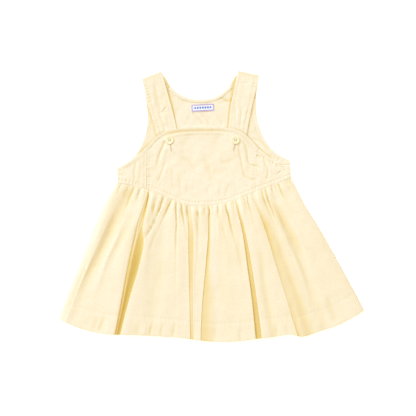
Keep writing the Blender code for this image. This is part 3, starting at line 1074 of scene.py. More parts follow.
class StitchTree(NodeMaker):
    """The Geometry Nodes that sew stitches of one thread along lines."""

    usual = {"Pitch": 0.003, "Length": 0.0024, "Width": 0.0005, "Height": 0.0003, "Turn": 0.0, "Seed": 1}

    def __init__(self, thread: Material) -> None:
        """Builds the tree and remembers its sockets' identifiers.

        Args:
            thread: The thread's finish.
        """
        self.tree = bpy.data.node_groups.new("stitch_run", "GeometryNodeTree")
        face = self.tree.interface
        face.new_socket("Lines", in_out="INPUT", socket_type="NodeSocketGeometry")
        face.new_socket("Stitches", in_out="OUTPUT", socket_type="NodeSocketGeometry")
        self.identifiers = {}
        for label, number in self.usual.items():
            kind = "NodeSocketInt" if isinstance(number, int) else "NodeSocketFloat"
            socket = face.new_socket(label, in_out="INPUT", socket_type=kind)
            socket.default_value = number
            self.identifiers[label] = socket.identifier
        self.given = self.tree.nodes.new("NodeGroupInput").outputs
        line = self.add("GeometryNodeMeshToCurve", Mesh=self.given["Lines"])
        line = self.add("GeometryNodeResampleCurve", {"mode": "LENGTH"}, Curve=line,
                        Length=self.given["Pitch"])
        stitch = self.add("GeometryNodeMeshUVSphere", Segments=6, Rings=4, Radius=1.0)
        sewn = self.add("GeometryNodeInstanceOnPoints", Points=line, Instance=stitch,
                        Rotation=self.turned(), Scale=self.sized())
        real = self.add("GeometryNodeRealizeInstances", Geometry=sewn)
        last = self.add("GeometryNodeSetMaterial", Geometry=real, Material=thread)
        self.tree.links.new(last, self.tree.nodes.new("NodeGroupOutput").inputs[0])

    def add(self, kind: str, settings: dict | None = None, output: int = 0, **inputs: Input) -> NodeSocket:
        """Adds a node and gives one of its outputs."""
        return self.node(kind, settings, **inputs).outputs[output]

    def math(self, operation: str, first: Input, second: Input) -> NodeSocket:
        """The result of one Math node."""
        return self.add("ShaderNodeMath", {"operation": operation}, in0=first, in1=second)

    def random(self, low: float, high: float, shift: int) -> NodeSocket:
        """A number between two others for each stitch, from the tree's seed."""
        seed = self.math("ADD", self.given["Seed"], float(shift))
        return self.add("FunctionNodeRandomValue", {"data_type": "FLOAT"}, 1, in2=low, in3=high, Seed=seed)

    def turned(self) -> NodeSocket:
        """Each stitch's turn: along its line, flat on the cloth, and a little off true."""
        tangent = self.add("GeometryNodeInputTangent")
        turn = self.add("FunctionNodeAlignRotationToVector", {"axis": "X"}, Vector=tangent)
        turn = self.add("FunctionNodeAlignRotationToVector", {"axis": "Z", "pivot_axis": "X"},
                        Rotation=turn, Vector=(0.0, 0.0, 1.0))
        angle = self.math("ADD", self.given["Turn"], self.random(-0.09, 0.09, 0))
        spin = self.add("FunctionNodeAxisAngleToRotation", Axis=(0.0, 0.0, 1.0), Angle=angle)
        return self.add("FunctionNodeRotateRotation", {"rotation_space": "LOCAL"}, Rotation=turn,
                        Rotate_By=spin)

    def sized(self) -> NodeSocket:
        """Each stitch's half sizes, a little uneven."""
        half = [self.math("MULTIPLY", self.given[key], 0.5) for key in ("Length", "Width", "Height")]
        size = self.add("ShaderNodeCombineXYZ", X=half[0], Y=half[1], Z=half[2])
        uneven = self.random(0.88, 1.1, 7)
        return self.add("ShaderNodeVectorMath", {"operation": "SCALE"}, Vector=size, Scale=uneven)

    def sew(self, name: str, lines: list[Array], seed: int, **sizes: float) -> Object:
        """Sews stitches along lines and makes them a plain mesh, dressed as thread.

        Args:
            name: The name of the piece.
            lines: Rows of points in space, one set for each line.
            seed: Which unevenness the stitches have.
            sizes: The tree's Pitch, Length, Width, Height and Turn, where they aren't the usual.

        Returns:
            The stitches' object.
        """
        points, edges = [], []
        for line in lines:
            first = len(points)
            points += (line * MM).tolist()
            edges += [(first + i, first + i + 1) for i in range(len(line) - 1)]
        mesh = bpy.data.meshes.new(f"{name}_lines")
        mesh.from_pydata(points, edges, [])
        guide = placed(f"{name}_lines", mesh)
        modifier = guide.modifiers.new("Sewn", "NODES")
        modifier.node_group = self.tree
        for label, given in {**sizes, "Seed": seed}.items():
            modifier[self.identifiers[label]] = given
        evaluated = guide.evaluated_get(bpy.context.evaluated_depsgraph_get())
        sewn = bpy.data.meshes.new_from_object(evaluated)
        sewn.name = name
        sewn.shade_smooth()
        bpy.data.objects.remove(guide, do_unlink=True)
        return dress_up(placed(name, sewn), "thread")


class Surface:
    """The upper side of some pieces, so that lines can be laid on them."""

    def __init__(self, *pieces: Object) -> None:
        """Reads the pieces' meshes.

        Args:
            pieces: The pieces.
        """
        self.trees = []
        for mesh in (piece.data for piece in pieces):
            points, faces = [v.co for v in mesh.vertices], [tuple(f.vertices) for f in mesh.polygons]
            self.trees.append(BVHTree.FromPolygons(points, faces))

    def laid(self, line: Array, above: float = 0.02, step: float = 1.0) -> Array:
        """A flat line laid on the pieces.

        Args:
            line: Its (x, y) points.
            above: How far it lies above the cloth.
            step: The space between the points that it gets.

        Returns:
            Its points in space; those that meet no cloth are left out.
        """
        lengths = lengths_along(line)
        at = np.linspace(0, lengths[-1], max(int(lengths[-1] / step), 2))
        found = []
        for x, y in zip(*(np.interp(at, lengths, line[:, axis]) for axis in (0, 1))):
            start = Vector((x, y, 60.0)) * MM
            hits = [tree.ray_cast(start, Vector((0, 0, -1)))[0] for tree in self.trees]
            heights = [hit.z / MM for hit in hits if hit is not None]
            if heights:
                found.append((x, y, max(heights) + above))
        return np.array(found)

    def seams(self, seams: list[Seam]) -> list[Array]:
        """The lines of stitched seams, laid on the pieces where there is cloth for them."""
        return [run for seam in seams if seam.stitched and len(run := self.laid(seam.line)) > 3]


class Workroom:
    """Where the dress is made: its finishes, its stitches and the cloth laid so far."""

    def __init__(self) -> None:
        """Makes the finishes, over an empty table."""
        self.cotton = CottonTwill().make("cotton_twill")
        self.thread = SewingThread().make("sewing_thread")
        self.resin = DyedResin().make("dyed_resin")
        self.satin = LabelSatin(NeckLabel.width * MM, NeckLabel.height * MM).make("label_satin")
        self.paper = PaperSweep().make("paper_sweep")
        self.stitches = StitchTree(self.thread)
        self.pile = Pile()

    def panel(self, shell: ClothShell, node: str, laid: slice = slice(None),
              cuts: tuple[Mesh, ...] = ()) -> Object:
        """Makes a panel of the cotton and lays it on the pile.

        Args:
            shell: The panel.
            node: The CAD node that it stands for.
            laid: Which of its rows others may lie on.
            cuts: The closed shapes that are taken out of it.

        Returns:
            The panel, dressed.
        """
        self.pile.lay(shell.upper()[laid])
        piece = shell.build(self.cotton)
        for shape in cuts:
            cut_out(piece, shape)
        return dress_up(piece, "cotton", node)


class Part(ABC):
    """One sub-assembly of the scene, with its sizes."""

    @abstractmethod
    def build(self, room: Workroom) -> None:
        """Makes its pieces.

        Args:
            room: Where they are made, dressed and laid.
        """


# The skirt


class Knot(NamedTuple):
    """One point of a fold's section: places across are in widths of the fold, from its line."""

    spread: float
    lean: float  # how far the fold's overhang carries it, once the fold stands up
    height: float  # 0 on the floor of the fold, 1 on its crest


class FoldKind(Enum):
    """The sections that a fold can have."""

    PLEAT = rows(
        Knot, (-0.62, 0.12, 0.98), (-0.36, 0.2, 1), (-0.14, 0.22, 0.97), (-0.05, 0.15, 0.86),
        (-0.02, 0, 0.62), (0.02, -0.12, 0.3), (0.12, -0.16, 0.05), (0.3, -0.06, 0),
        (0.82, 0.08, 0), (1.02, 0.14, 0.1), (1.12, 0.1, 0.4), (1.16, -0.1, 0.76),
        (1.24, -0.14, 0.95), (1.44, 0, 1),
    )
    DEEP = rows(
        Knot, (-0.3, 0, 1), (-0.14, 0, 0.97), (-0.05, 0, 0.84), (0, 0, 0.62),
        (0.05, 0, 0.46), (0.13, 0, 0.4), (0.24, 0, 0.5), (0.33, 0, 0.4),
        (0.44, 0, 0.2), (0.6, 0, 0.05), (0.84, 0, 0), (0.98, 0.06, 0.2),
        (1.06, 0.06, 0.55), (1.12, 0, 0.88), (1.3, 0, 1),
    )
    STEP = rows(
        Knot, (-0.52, 0.1, 0.98), (-0.28, 0.18, 1), (-0.1, 0.16, 0.92), (-0.02, 0.06, 0.66),
        (0.02, -0.06, 0.28), (0.16, -0.06, 0.04), (0.42, 0, 0), (0.8, 0, 0.06),
        (1.3, 0, 0.44), (1.9, 0, 0.88),
    )
    HOLLOW = rows(
        Knot, (-0.9, 0, 0.9), (-0.45, 0, 0.4), (0, 0, 0), (0.45, 0, 0.35),
        (0.9, 0, 0.85),
    )


class Fold(NamedTuple):
    """A fold that runs down the skirt; its values are evenly spaced from the waist to the hem."""

    kind: FoldKind
    edge: tuple[float, ...]  # x of the line that shows
    width: tuple[float, ...]
    depth: tuple[float, ...]
    crest: tuple[float, ...]  # how high the cloth stands beside it
    shade: tuple[float, ...]  # how deep the shade painted on its floor is

    def knots(self, v: float, standing: float) -> list[tuple[float, float, float]]:
        """The knots of its section at one height of the skirt.

        Args:
            v: 0 at the waist and 1 at the hem.
            standing: How far it stands up, from 0 to 1.

        Returns:
            Tuples of (x, height, how deep the painted shade is).
        """
        edge, width, depth, crest, shade = (down_skirt(values, v) for values in self[1:])
        return [
            (
                edge + width * (knot.spread + knot.lean * standing),
                crest - depth * (1 - knot.height),
                shade * (1 - knot.height),
            )
            for knot in self.kind.value
        ]


PLEAT, DEEP, STEP, HOLLOW = FoldKind
FOLDS = rows(
    Fold,
    (HOLLOW, (-117, -167, -211), (9, 11, 10), (1, 2.6, 0.6), (1.6, 6, 4.8), (0.12, 0.12, 0)),
    (
        DEEP, (-94.5, -102.5, -111.3, -117.4, -123.4, -128.8, -133.8, -139, -144.8),
        (2.6, 5.6, 8.4, 14.4, 15, 13.2, 10.4, 8.6, 7.8),
        (0.6, 1.6, 2.2, 3.6, 4.4, 4.6, 4.6, 4.8, 5),
        (1.6, 4.2, 6.2, 7.6, 8.6, 8.8, 9, 9.3, 9.6),
        (0.3, 0.6, 0.38, 0.7, 0.94, 1, 1, 1, 1),
    ),
    (HOLLOW, (-66, -82, -90), (9, 15, 13), (1, 1.4, 1.2), (1.6, 7.4, 8), (0, 0.05, 0.05)),
    (
        PLEAT, (-34.5, -35.6, -34.8, -33.4, -32.6), (3, 8.5, 7.1, 5.4, 5.8),
        (0.6, 0.9, 0.9, 0.8, 1.1), (1.6, 5.4, 6.8, 7.2, 7.4), (0.1, 0.38, 0.42, 0.34, 0.42),
    ),
    (
        STEP, (-4, -5.8, -10.2, -14.8, -17.2), (1.6, 2.6, 4.8, 10.5, 12),
        (0.7, 1.3, 1.3, 0.8, 1), (1.6, 5.2, 6.6, 7.2, 7.8), (0.2, 0.6, 0.46, 0.36, 0.38),
    ),
    (
        PLEAT, (34.5, 45.8, 53, 60, 65), (2, 4.8, 7.2, 8, 9.8),
        (1, 1.7, 2.3, 2.6, 3.2), (1.6, 5.6, 7.4, 8.4, 9.6), (0.4, 0.55, 0.52, 0.6, 0.64),
    ),
    (
        STEP, (58.5, 79, 95.5, 112.2, 128.4), (3, 3.6, 4.4, 5.4, 4),
        (0.5, 1.2, 0.9, 0.8, 1.3), (1.6, 5.4, 6.6, 7.2, 8.6), (0.1, 0.36, 0.24, 0.2, 0.34),
    ),
    (HOLLOW, (88, 129, 169), (10, 13, 12), (1.2, 2.4, 1.6), (1.6, 5.6, 5.2), (0, 0.1, 0.1)),
)

FRONT_GATHERS = rows(
    Gather,
    (-136, -8, 22, 2.2, -0.7), (-130.5, -6, 18, 1.9, 0.6), (-124, -8, 24, 2.1, -0.75),
    (-117, -13, 40, 2.4, -1.1), (-111, -9, 32, 2.4, 0.8), (-106.5, -8, 26, 1.5, -0.7),
    (-101, -10, 42, 2.2, 0.7), (-93.6, -6, 34, 1.7, -1.3), (-87, -15, 60, 3.4, 1.5, 0.6),
    (-80.5, -17, 54, 1.6, -1.5), (-76, -13, 44, 2.6, 1.2, 0.6), (-66, -10, 30, 2.5, 0.9),
    (-60, -14, 34, 1.9, -1.6), (-56, -2, 28, 1.9, 0.8, 0.7), (-52.5, -1, 92, 1.6, -1.2),
    (-49, 0, 40, 1.8, 0.9), (-45.5, 6, 38, 1.7, -1.6), (-41, 3, 30, 1.9, 1.1), (-37, 2, 26, 1.5, -1.4),
    (-27, 0, 40, 2.3, 0.9), (-20.8, 0.5, 54, 1.8, -1.5), (-15.5, 0, 34, 2.2, 0.8),
    (-10, -0.5, 24, 1.4, -0.7), (-3.5, -1, 30, 1.7, -1.3), (2, 1, 24, 1.2, -0.7), (5.5, 1, 22, 1.5, 0.6),
    (9.5, 1.5, 28, 1.4, -0.8), (15, 2, 40, 2.5, 0.7), (21, 14, 58, 1.9, -1.6), (27, 8, 36, 2.4, 1, 0.7),
    (32, 3, 16, 1.3, -0.8), (43, 10, 42, 2.6, 1.2, 0.7), (48, 7, 24, 1.4, -0.9), (52.3, 9, 34, 1.6, -1.1),
    (57, 8, 30, 2, 0.9), (68, 12, 38, 2.4, 0.9), (74, 18, 48, 1.8, -1.3), (79.5, 22, 60, 1.8, -1.3),
    (85, 14, 34, 2.2, 0.9), (89, 5, 14, 1.3, -0.8), (93.5, 6, 16, 1.3, -0.7), (98.5, 15, 30, 1.8, -1.2),
    (104, 11, 26, 2.2, 0.8), (110, 14, 26, 1.5, -1), (115.5, 10, 20, 1.4, -0.8),
)

FRONT_CREASES = rows(
    Crease,
    # left of the deep fold
    ([(-124, 27), (-138, 2), (-148, -22), (-157, -48), (-174, -82), (-192, -112), (-207, -140), (-218, -166)],
     7.4, -1.4, 0.8, 0.05, 0.4),
    ([(-131, -20), (-142.5, -50), (-157, -80), (-167, -110), (-175, -140)], 3, 1, 1, 0.2, 0.5),
    ([(-113, -4), (-120, -20), (-134, -50), (-148, -80), (-156, -100)], 5, -1, 1, 0.2, 0.4),
    ([(-108, 10), (-124, -40), (-140, -92), (-152, -140), (-160, -176)], 9, 1.1, 0.7),
    ([(-150, -2), (-164, -34), (-178, -66)], 6, 0.9),
    ([(-179, -92), (-171, -89), (-163, -88)], 2.2, -0.4),
    ([(-96, 3), (-105, -28), (-116, -62), (-125, -98), (-132, -140), (-139, -180)], 2.2, 0.9, 0.5),
    # between the deep fold and the middle one
    ([(-71.6, 14), (-77, -3), (-85, -22), (-96, -42), (-105, -55)], 1, -2.4, 1, 0, 0.3),
    ([(-84, 8), (-90, -14), (-98, -36), (-104, -47)], 1.8, 1.2, 1, 0.1, 0.3),
    ([(-80, -34), (-90, -58), (-97, -82)], 3, -0.6),
    ([(-86, -30), (-96, -70), (-104, -110), (-112, -150)], 6, 0.8, 0.7),
    ([(-66, -40), (-72, -90), (-78, -140), (-82, -180)], 8, -0.5),
    ([(-47, -45), (-48, -90), (-50, -140)], 7, 0.6),
    # round the middle one
    ([(-25, -40), (-27, -93), (-29, -165), (-25.7, -196)], 2.2, 0.7, 0.5, 0.1, 0.1),
    ([(-3, -40), (-3, -100), (-1, -150), (0.5, -197)], 6, 0.7, 1, 0.1, 0.1),
    ([(16, -30), (22, -80), (28, -130), (30, -185)], 9, 0.6),
    ([(14, -14), (20, -44), (28, -72)], 1.5, -0.6, 1, 0.2, 0.6),
    ([(9, -10), (11, -40), (13, -60)], 2, 0.6),
    ([(38, -45), (44, -80), (49, -110)], 3, -0.6),
    # right of the deep fold on the right
    ([(70, -50), (76, -90), (80, -126), (86, -158), (93, -194)], 4.2, -1.4, 1, 0.3, 0, 1.5),
    ([(82, 6), (92, -8), (108, -44), (126, -80), (139, -114), (152, -158)], 4.4, 2.4, 0.8),
    ([(84, 14), (97, -3), (109, -24), (121, -45), (134, -70), (142, -92)], 4.2, -2.2, 1, 0.25, 0.4),
    ([(92, 14), (112, -14), (130, -41), (148, -72)], 5, 1.3),
    ([(104, 20), (122, -6), (146, -44), (166, -84)], 7, 0.8),
    ([(72, -2), (84, -26), (98, -56), (113, -96), (130, -141), (147, -194)], 4.6, -2.4, 1.6, 0.15, 0, 1.9),
    ([(141, -66), (149, -64), (156, -65)], 2.2, -0.5),
    ([(150, -84), (160, -80), (168, -81)], 2.4, -0.4),
    ([(170, -132), (177, -150), (186, -175)], 5, -1.3, 0.8, 0.4, 0.1),
    ([(150, -126), (158, -150), (164, -184)], 6, 0.8, 1, 0.4, 0.1),
)

HEM_FLUTES = [
    Crease(*flute, 1, 0.05, 0.6)
    for flute in (
        ([(-178, -186), (-172, -174), (-168, -162)], 2.4, -0.8),
        ([(-168, -187), (-163, -174), (-159, -160)], 2.6, -1.2),
        ([(-157, -190), (-154, -178), (-151, -166)], 2.2, 0.6),
        ([(-127, -192), (-124, -182), (-121, -172)], 2, -0.9),
        ([(-112, -191), (-110, -180), (-107, -169)], 2.2, -1.1),
        ([(-101, -192), (-99, -181), (-97, -171)], 2, 0.6),
        ([(-92, -193), (-90, -182), (-87, -172)], 2, -1),
        ([(-76, -194), (-74, -182), (-72, -172)], 2.2, -0.9),
        ([(-58, -195), (-56, -183), (-54, -171)], 2.6, -1.1),
        ([(4, -200), (5, -190), (6, -178)], 2.2, -0.7),
        ([(44, -200), (43, -190), (43, -180)], 2.2, -0.7),
        ([(98, -194), (97, -184), (95, -174)], 2, -0.8),
        ([(114, -192), (112, -183), (110, -174)], 2, -0.8),
    )
]

BACK_FOLDS = (  # the long soft folds of the skirt's back: x, and where each begins and ends along Y
    (-112, 5, -150), (-72, -10, -170), (-28, -30, -190), (18, -8, -165), (52, -20, -185), (88, 0, -150),
)


def between_knots(before: tuple, after: tuple) -> list[tuple]:
    """Two knots evenly spaced between two others."""
    start, way = np.array(before), np.array(after) - before
    return [tuple(start + way * share) for share in (0.33, 0.67)]


@dataclass
class Skirt(Part):
    """The gathered skirt: a folded front on a back that lies on the table."""

    length: float = 235.0
    back_length: float = 230.0
    back_width: float = 440.0
    tone: float = 0.05  # how much deeper its tone is than the bodice's, all over
    rising: Pair = (-0.01, 0.05)  # the shares of its length in which its folds rise
    shading: float = 0.03  # the share of its length in which their floors take their painted shade
    standing: float = 0.22  # the share of its length from which its folds stand up straight
    side: Pairs = ((0.0, 0.0), (2.5, 0.26), (9.0, 0.58), (20.0, 0.88))  # how high it is how far in
    side_spread: float = 1.2  # how far they spread, less the share of its width that the waist has
    recess: float = 4.0  # below this height the floor of a fold is drawn up from the hem
    recess_rise: float = 0.35
    tuck: float = 0.1  # how far its top edge lies inside the waist seam
    pitch: float = 1.22
    gathered: float = 34.0  # how much of it has its rows close together
    row_pitch: float = 2.5
    close_pitch: float = 1.0
    back_pitch: float = 2.1
    back_rise: float = 3.5  # how much shorter the back is than the front
    back_high: float = 1.1  # how high its creases may lift it
    back_gathers: Pair = (-134.0, 114.0)  # from where to where they lie along X
    middle: float = -8.0  # the place along X from which they fan out
    gather_fan: float = 0.45  # how far its gathers lean for each millimetre from there
    fold_fan: float = 0.7875  # and its long folds
    hem_depth: float = 29.5  # how far above the edge the hem is stitched
    waves: Waves = ((46.0, 0.28, 3), (15.0, 0.1, 4))
    seam_share: float = 0.012  # the share of its length in which its relief comes in
    seam_shade: Pair = (0.002, 0.014)  # and its painted shade
    still_sides: float = 6.0  # how far from its sides its relief comes in
    clearance: float = 0.12  # the air between it and the back
    bridged: Pair = (1.6, 1.0)  # how far round a step below it bridges, and comes down
    hem_double: float = 0.2  # how much higher the hem's two layers lie
    hem_dip: float = 0.4  # how far its stitches pull it down
    hem_pucker: float = 0.16

    def section(self, v: float, left: float, right: float) -> Array:
        """The knots of the front's section at one height.

        Args:
            v: 0 at the waist and 1 at the hem.
            left: Where the section begins along X.
            right: Where it ends.

        Returns:
            Rows of (x, height, how deep the painted shade is).
        """
        standing = float(smoothstep(0, self.standing, v))
        slack = self.side_spread - (WAIST[-1][0] - WAIST[0][0]) / (right - left)
        first, last = (down_skirt(fold.crest, v) for fold in (FOLDS[0], FOLDS[-1]))
        knots = [(left + way_in * slack, share * first, 0.0) for way_in, share in self.side]
        ending = [(right - way_in * slack, share * last, 0.0) for way_in, share in self.side[::-1]]
        for made in [fold.knots(v, standing) for fold in FOLDS] + [ending]:
            knots += between_knots(knots[-1], made[0]) + made
        risen, shaded = smoothstep(*self.rising, v), smoothstep(0, self.shading, v)
        return np.array(knots) * (1.0, float(risen), float(shaded))

    def rows_up(self) -> Array:
        """The shares of the front's length at which its rows lie: closer under the waist."""
        rim, near = CLOTH / 2 / self.length, self.gathered / self.length
        edge = rim_shares(rim)
        loose = np.linspace(rim, 1 - near, int(self.length * (1 - near) / self.row_pitch), endpoint=False)
        close = np.linspace(1 - near, 1 - rim, int(self.gathered / self.close_pitch))
        return np.concatenate([edge, loose, close, 1 - edge[::-1]])

    def flat(self, around: Array, up: Array, rise: float = 0.0) -> Array:
        """The skirt's outline as a flat grid.

        Args:
            around: The shares of its width.
            up: The shares of its length, from the hem.
            rise: How much shorter it is than its outline.

        Returns:
            Rows of (x, y) points, from the hem to the waist.
        """
        hem, waist = along(HEM, around), along(WAIST, around) + (0.0, self.tuck)
        hem[1:-1, 1] += rise
        return patch(hem, waist, along(SKIRT_LEFT, 1 - up), along(SKIRT_RIGHT, 1 - up), around, up)

    def folded(self, up: Array) -> Array:
        """The front with its folds alone.

        Args:
            up: The shares of its length at which its rows lie, from the hem.

        Returns:
            Rows of (x, y, height, how deep the painted shade is).
        """
        spread = self.flat(np.linspace(0, 1, 120), up)
        middle_row = spread[len(up) // 2]
        knots = self.section(0.5, middle_row[0, 0], middle_row[-1, 0])
        spans = np.linalg.norm(np.diff(knots, axis=0), axis=1)
        steps = [max(int(round(span / self.pitch)), 2) for span in spans]
        steps[0] = steps[-1] = 4
        rows = []
        for share, line in zip(up, spread):
            v = 1 - share
            x, height, tone = smooth_through(self.section(v, line[0, 0], line[-1, 0]), steps).T
            drawn_up = self.recess_rise * np.clip(self.recess - height, 0.0, self.recess) * v
            y = np.interp(x, line[:, 0], line[:, 1]) + drawn_up
            rows.append(np.stack([x, y, INNER_LEVEL + np.maximum(height, 0), tone], axis=1))
        return np.array(rows)

    def hem_relief(self, x: Array, above: Array) -> Array:
        """The hem's double cloth, the dip along its stitches and the puckers beside them.

        Args:
            x: Places along X.
            above: How far each is above the hem's edge.

        Returns:
            The height at each place.
        """
        off = above - self.hem_depth
        double = self.hem_double * (1 - smoothstep(-1.5, 0.0, off))
        dip = self.hem_dip * np.exp(-((off / 1.5) ** 2))
        pucker = np.sin(2 * math.pi * (x + 2.0 * np.sin(x / 13.0)) / 6.5)
        return double - dip + self.hem_pucker * pucker * np.exp(-((off / 4.0) ** 2))

    def front_surface(self, pile: Pile) -> tuple[Array, Array]:
        """The front's cloth, over what lies under it.

        Args:
            pile: The cloth that lies under it.

        Returns:
            The points in its middle, and how deep the painted shade is at each.
        """
        up = self.rows_up()
        v = 1 - up[:, None]
        grid, tone = np.split(self.folded(up), [3], axis=2)
        x = grid[..., 0]
        creases = gather_creases(FRONT_GATHERS, WAIST) + FRONT_CREASES + HEM_FLUTES
        relief, shade = Relief(creases, self.waves).on(grid)
        relief *= smoothstep(0, self.seam_share, v)
        relief += self.hem_relief(x, (1 - v) * self.length)
        relief *= smoothstep(0, self.still_sides, np.minimum(x - x[:, :1], x[:, -1:] - x))
        floor = pile.under(grid, *self.bridged) + self.clearance + CLOTH / 2
        grid[..., 2] = np.maximum(grid[..., 2] + relief, floor)
        shade *= smoothstep(*self.seam_shade, v)
        return grid, np.clip(tone[..., 0] + shade + self.tone, 0, 1)

    def back_surface(self) -> Array:
        """The middle of the back's cloth: gathers and troughs that rise a little off the table."""
        up = shares_with_edges(self.back_length, self.back_pitch)
        grid = self.flat(shares_with_edges(self.back_width, self.back_pitch), up, self.back_rise)
        relief = np.abs(crease_relief(grid, self.back_creases()))
        return with_height(grid, BACK_LEVEL + np.clip(relief, 0.0, self.back_high))

    def back_creases(self) -> list[Crease]:
        """The creases of the hidden side: uneven gathers, and a few long soft folds."""
        chance = np.random.default_rng(11)
        made, (x, last) = [], self.back_gathers
        while x < last:
            drift = self.gather_fan * (x - self.middle) * chance.uniform(0.4, 0.9)
            length, width = chance.uniform(16.0, 70.0), chance.uniform(1.9, 3.2)
            height, right = chance.uniform(0.3, 0.75), chance.uniform(0.6, 1.2)
            made.append(Gather(x, drift, length, width, height, right))
            x += chance.uniform(5.5, 11.0)
        made = gather_creases(made, WAIST)
        for x, top, bottom in BACK_FOLDS:
            lean = (x - self.middle) * self.fold_fan
            points = [(x + lean * share, top + (bottom - top) * share) for share in (0.0, 0.4, 0.7, 1.0)]
            made.append(Crease(points, chance.uniform(4.5, 8.0), chance.uniform(0.45, 0.8), 0.6, 0.3, 0.3))
        return made

    def build(self, room: Workroom) -> None:
        """Makes the back, the front and the hem's stitches."""
        back = room.panel(ClothShell("skirt_back_cloth", self.back_surface(), self.tone), "skirt_back")
        front = ClothShell("skirt_front_cloth", *self.front_surface(room.pile))
        cloth = dress_up(front.build(room.cotton), "cotton", "skirt_front")
        up_middle = lengths_along(front.middle[:, front.middle.shape[1] // 2])
        line = front.upper()[np.argmin(np.abs(up_middle - self.hem_depth)), 3:-3] + (0.0, 0.0, 0.03)
        sewn = room.stitches.sew("skirt_hem_stitching", [line], 5, Height=0.00025)


# The bodice

BIB_CREASES = rows(
    Crease,
    # the bib's left side
    ([(-69.5, 98), (-72, 90), (-76, 82), (-79, 72), (-81, 64), (-84, 56)], 2, -1.35, 1, 0.02, 0.35),
    ([(-66, 90), (-71, 80), (-74, 70), (-77, 58)], 2.4, 0.6),
    ([(-66, 73), (-70, 62), (-73, 54), (-76, 46), (-79, 39), (-84, 33)], 1.8, -0.75, 1, 0.3, 0.2),
    ([(-74, 42), (-76, 34), (-77, 26)], 1.4, -0.5),
    ([(-66, 64), (-70, 50), (-74, 38)], 2.5, 0.4),
    # its middle
    ([(-58, 60), (-58, 42), (-58, 24)], 2.2, -0.45, 1, 0.3, 0.2),
    ([(-49, 50), (-46.5, 34), (-47, 18)], 1.8, -0.55, 1, 0.3, 0.2),
    ([(-38, 32), (-36, 24), (-37, 17)], 1.6, -0.4),
    ([(-50, 97), (-42, 92), (-36, 88)], 1.5, -0.4),
    ([(-57, 81), (-54, 77), (-50, 73)], 1.2, -0.45),
    ([(-48, 76), (-37, 68), (-29, 60), (-22, 46)], 3.4, -0.8),
    ([(-13, 80), (-6, 62), (-1, 46), (2, 28)], 5, -1.1),
    ([(12, 63), (26, 67), (38, 71)], 4, -0.85),
    ([(3, 55), (12, 51), (22, 50)], 4.4, -0.7),
    ([(28, 37), (24, 25), (21, 13)], 1.4, -0.5, 1, 0.3, 0.1),
    ([(14, 34), (12.5, 24), (12, 14)], 1.5, -0.4, 1, 0.3, 0.1),
    ([(-6, 30), (-5, 22), (-5, 13)], 1.8, -0.4, 1, 0.3, 0.1),
    ([(38, 32), (36, 24), (37, 18)], 1.4, -0.35),
    ([(50, 31), (56, 29), (60, 27)], 1.2, -0.4),
    ([(20, 36), (18, 25), (17, 14)], 1.8, 0.3),
    ([(-28, 50), (-30, 35), (-32, 20)], 3, 0.35),
    ([(-48, 103.5), (-36, 105.5), (-20, 107), (-12, 107)], 1.6, -0.35),
    ([(4, 107), (14, 106), (24, 104)], 1.6, -0.3),
    # its right side
    ([(42, 94), (41, 86), (43, 76), (45, 67), (47, 56), (50, 46), (56, 41), (63, 39), (71, 38.5)],
     1.6, -1, 1, 0.1, 0.15),
    ([(44, 98.5), (49, 94), (53, 84), (54, 75), (55.5, 66), (58, 62), (67, 60), (76, 54.5)],
     1.4, -1.1, 1, 0.1, 0.15),
    ([(47, 90), (49, 76), (51, 62), (55, 52)], 2.2, 0.55),
    ([(54, 76), (56, 73), (59, 70.5)], 1.1, -0.5),
    ([(50, 56), (55, 52), (62, 50.5)], 1.1, -0.45),
    # the left side front
    ([(-114, 68), (-114, 58), (-116, 50), (-115, 44), (-117, 36)], 1.8, -0.9, 1, 0.15, 0.2),
    ([(-106, 50), (-107, 43), (-110, 35)], 1.3, -0.5, 1, 0.2, 0.2),
    ([(-106, 72), (-107, 67), (-107, 62)], 1.3, -0.35),
    ([(-109, 66), (-110, 54), (-110, 42)], 2.6, 0.6),
    ([(-141, 46), (-134, 47), (-127, 45)], 1.3, -0.5, 1, 0, 0.3),
    ([(-138, 39), (-128, 38.5), (-118, 38.5)], 1, -0.35),
    ([(-128, 50), (-127.5, 46), (-127, 42)], 1.5, -0.35),
    ([(-103, 67), (-100, 66.5), (-96, 66.5)], 1.2, -0.5),
    ([(-101, 60.5), (-97, 60), (-93, 60)], 1.2, -0.5),
    ([(-99, 52), (-94, 53.5), (-89, 54)], 1.3, -0.65),
    ([(-98, 43), (-92, 43.5), (-86, 44.5)], 1.3, -0.65),
    ([(-91, 74), (-87, 74.5), (-83, 74.5)], 1.2, -0.4),
    # the right side front
    ([(79, 77), (79, 69), (81, 62), (84.5, 55), (84.5, 46), (82, 37)], 1.9, -1.05, 1, 0.15, 0.15),
    ([(84, 66), (88, 56), (88, 44)], 2.2, 0.5),
    ([(74, 66), (77, 56), (78, 46)], 2.2, 0.4),
    ([(67, 76), (72, 73.5), (76, 70)], 1.3, -1.2, 1, 0.1, 0.3),
    ([(66, 57), (68.5, 50), (71, 44), (74, 40)], 1.3, -0.7),
    ([(91.5, 68), (92, 65), (92.5, 62)], 1, -0.8, 1, 0.1, 0.3),
    ([(96, 60.5), (98.5, 59), (101, 57)], 1, -0.8),
    ([(105, 53), (101, 50), (98, 46)], 1.4, -1.1),
    ([(104, 60), (109, 56), (109, 50)], 1.2, -1),
    ([(89, 60), (94, 54), (95, 46)], 2, 0.6),
)

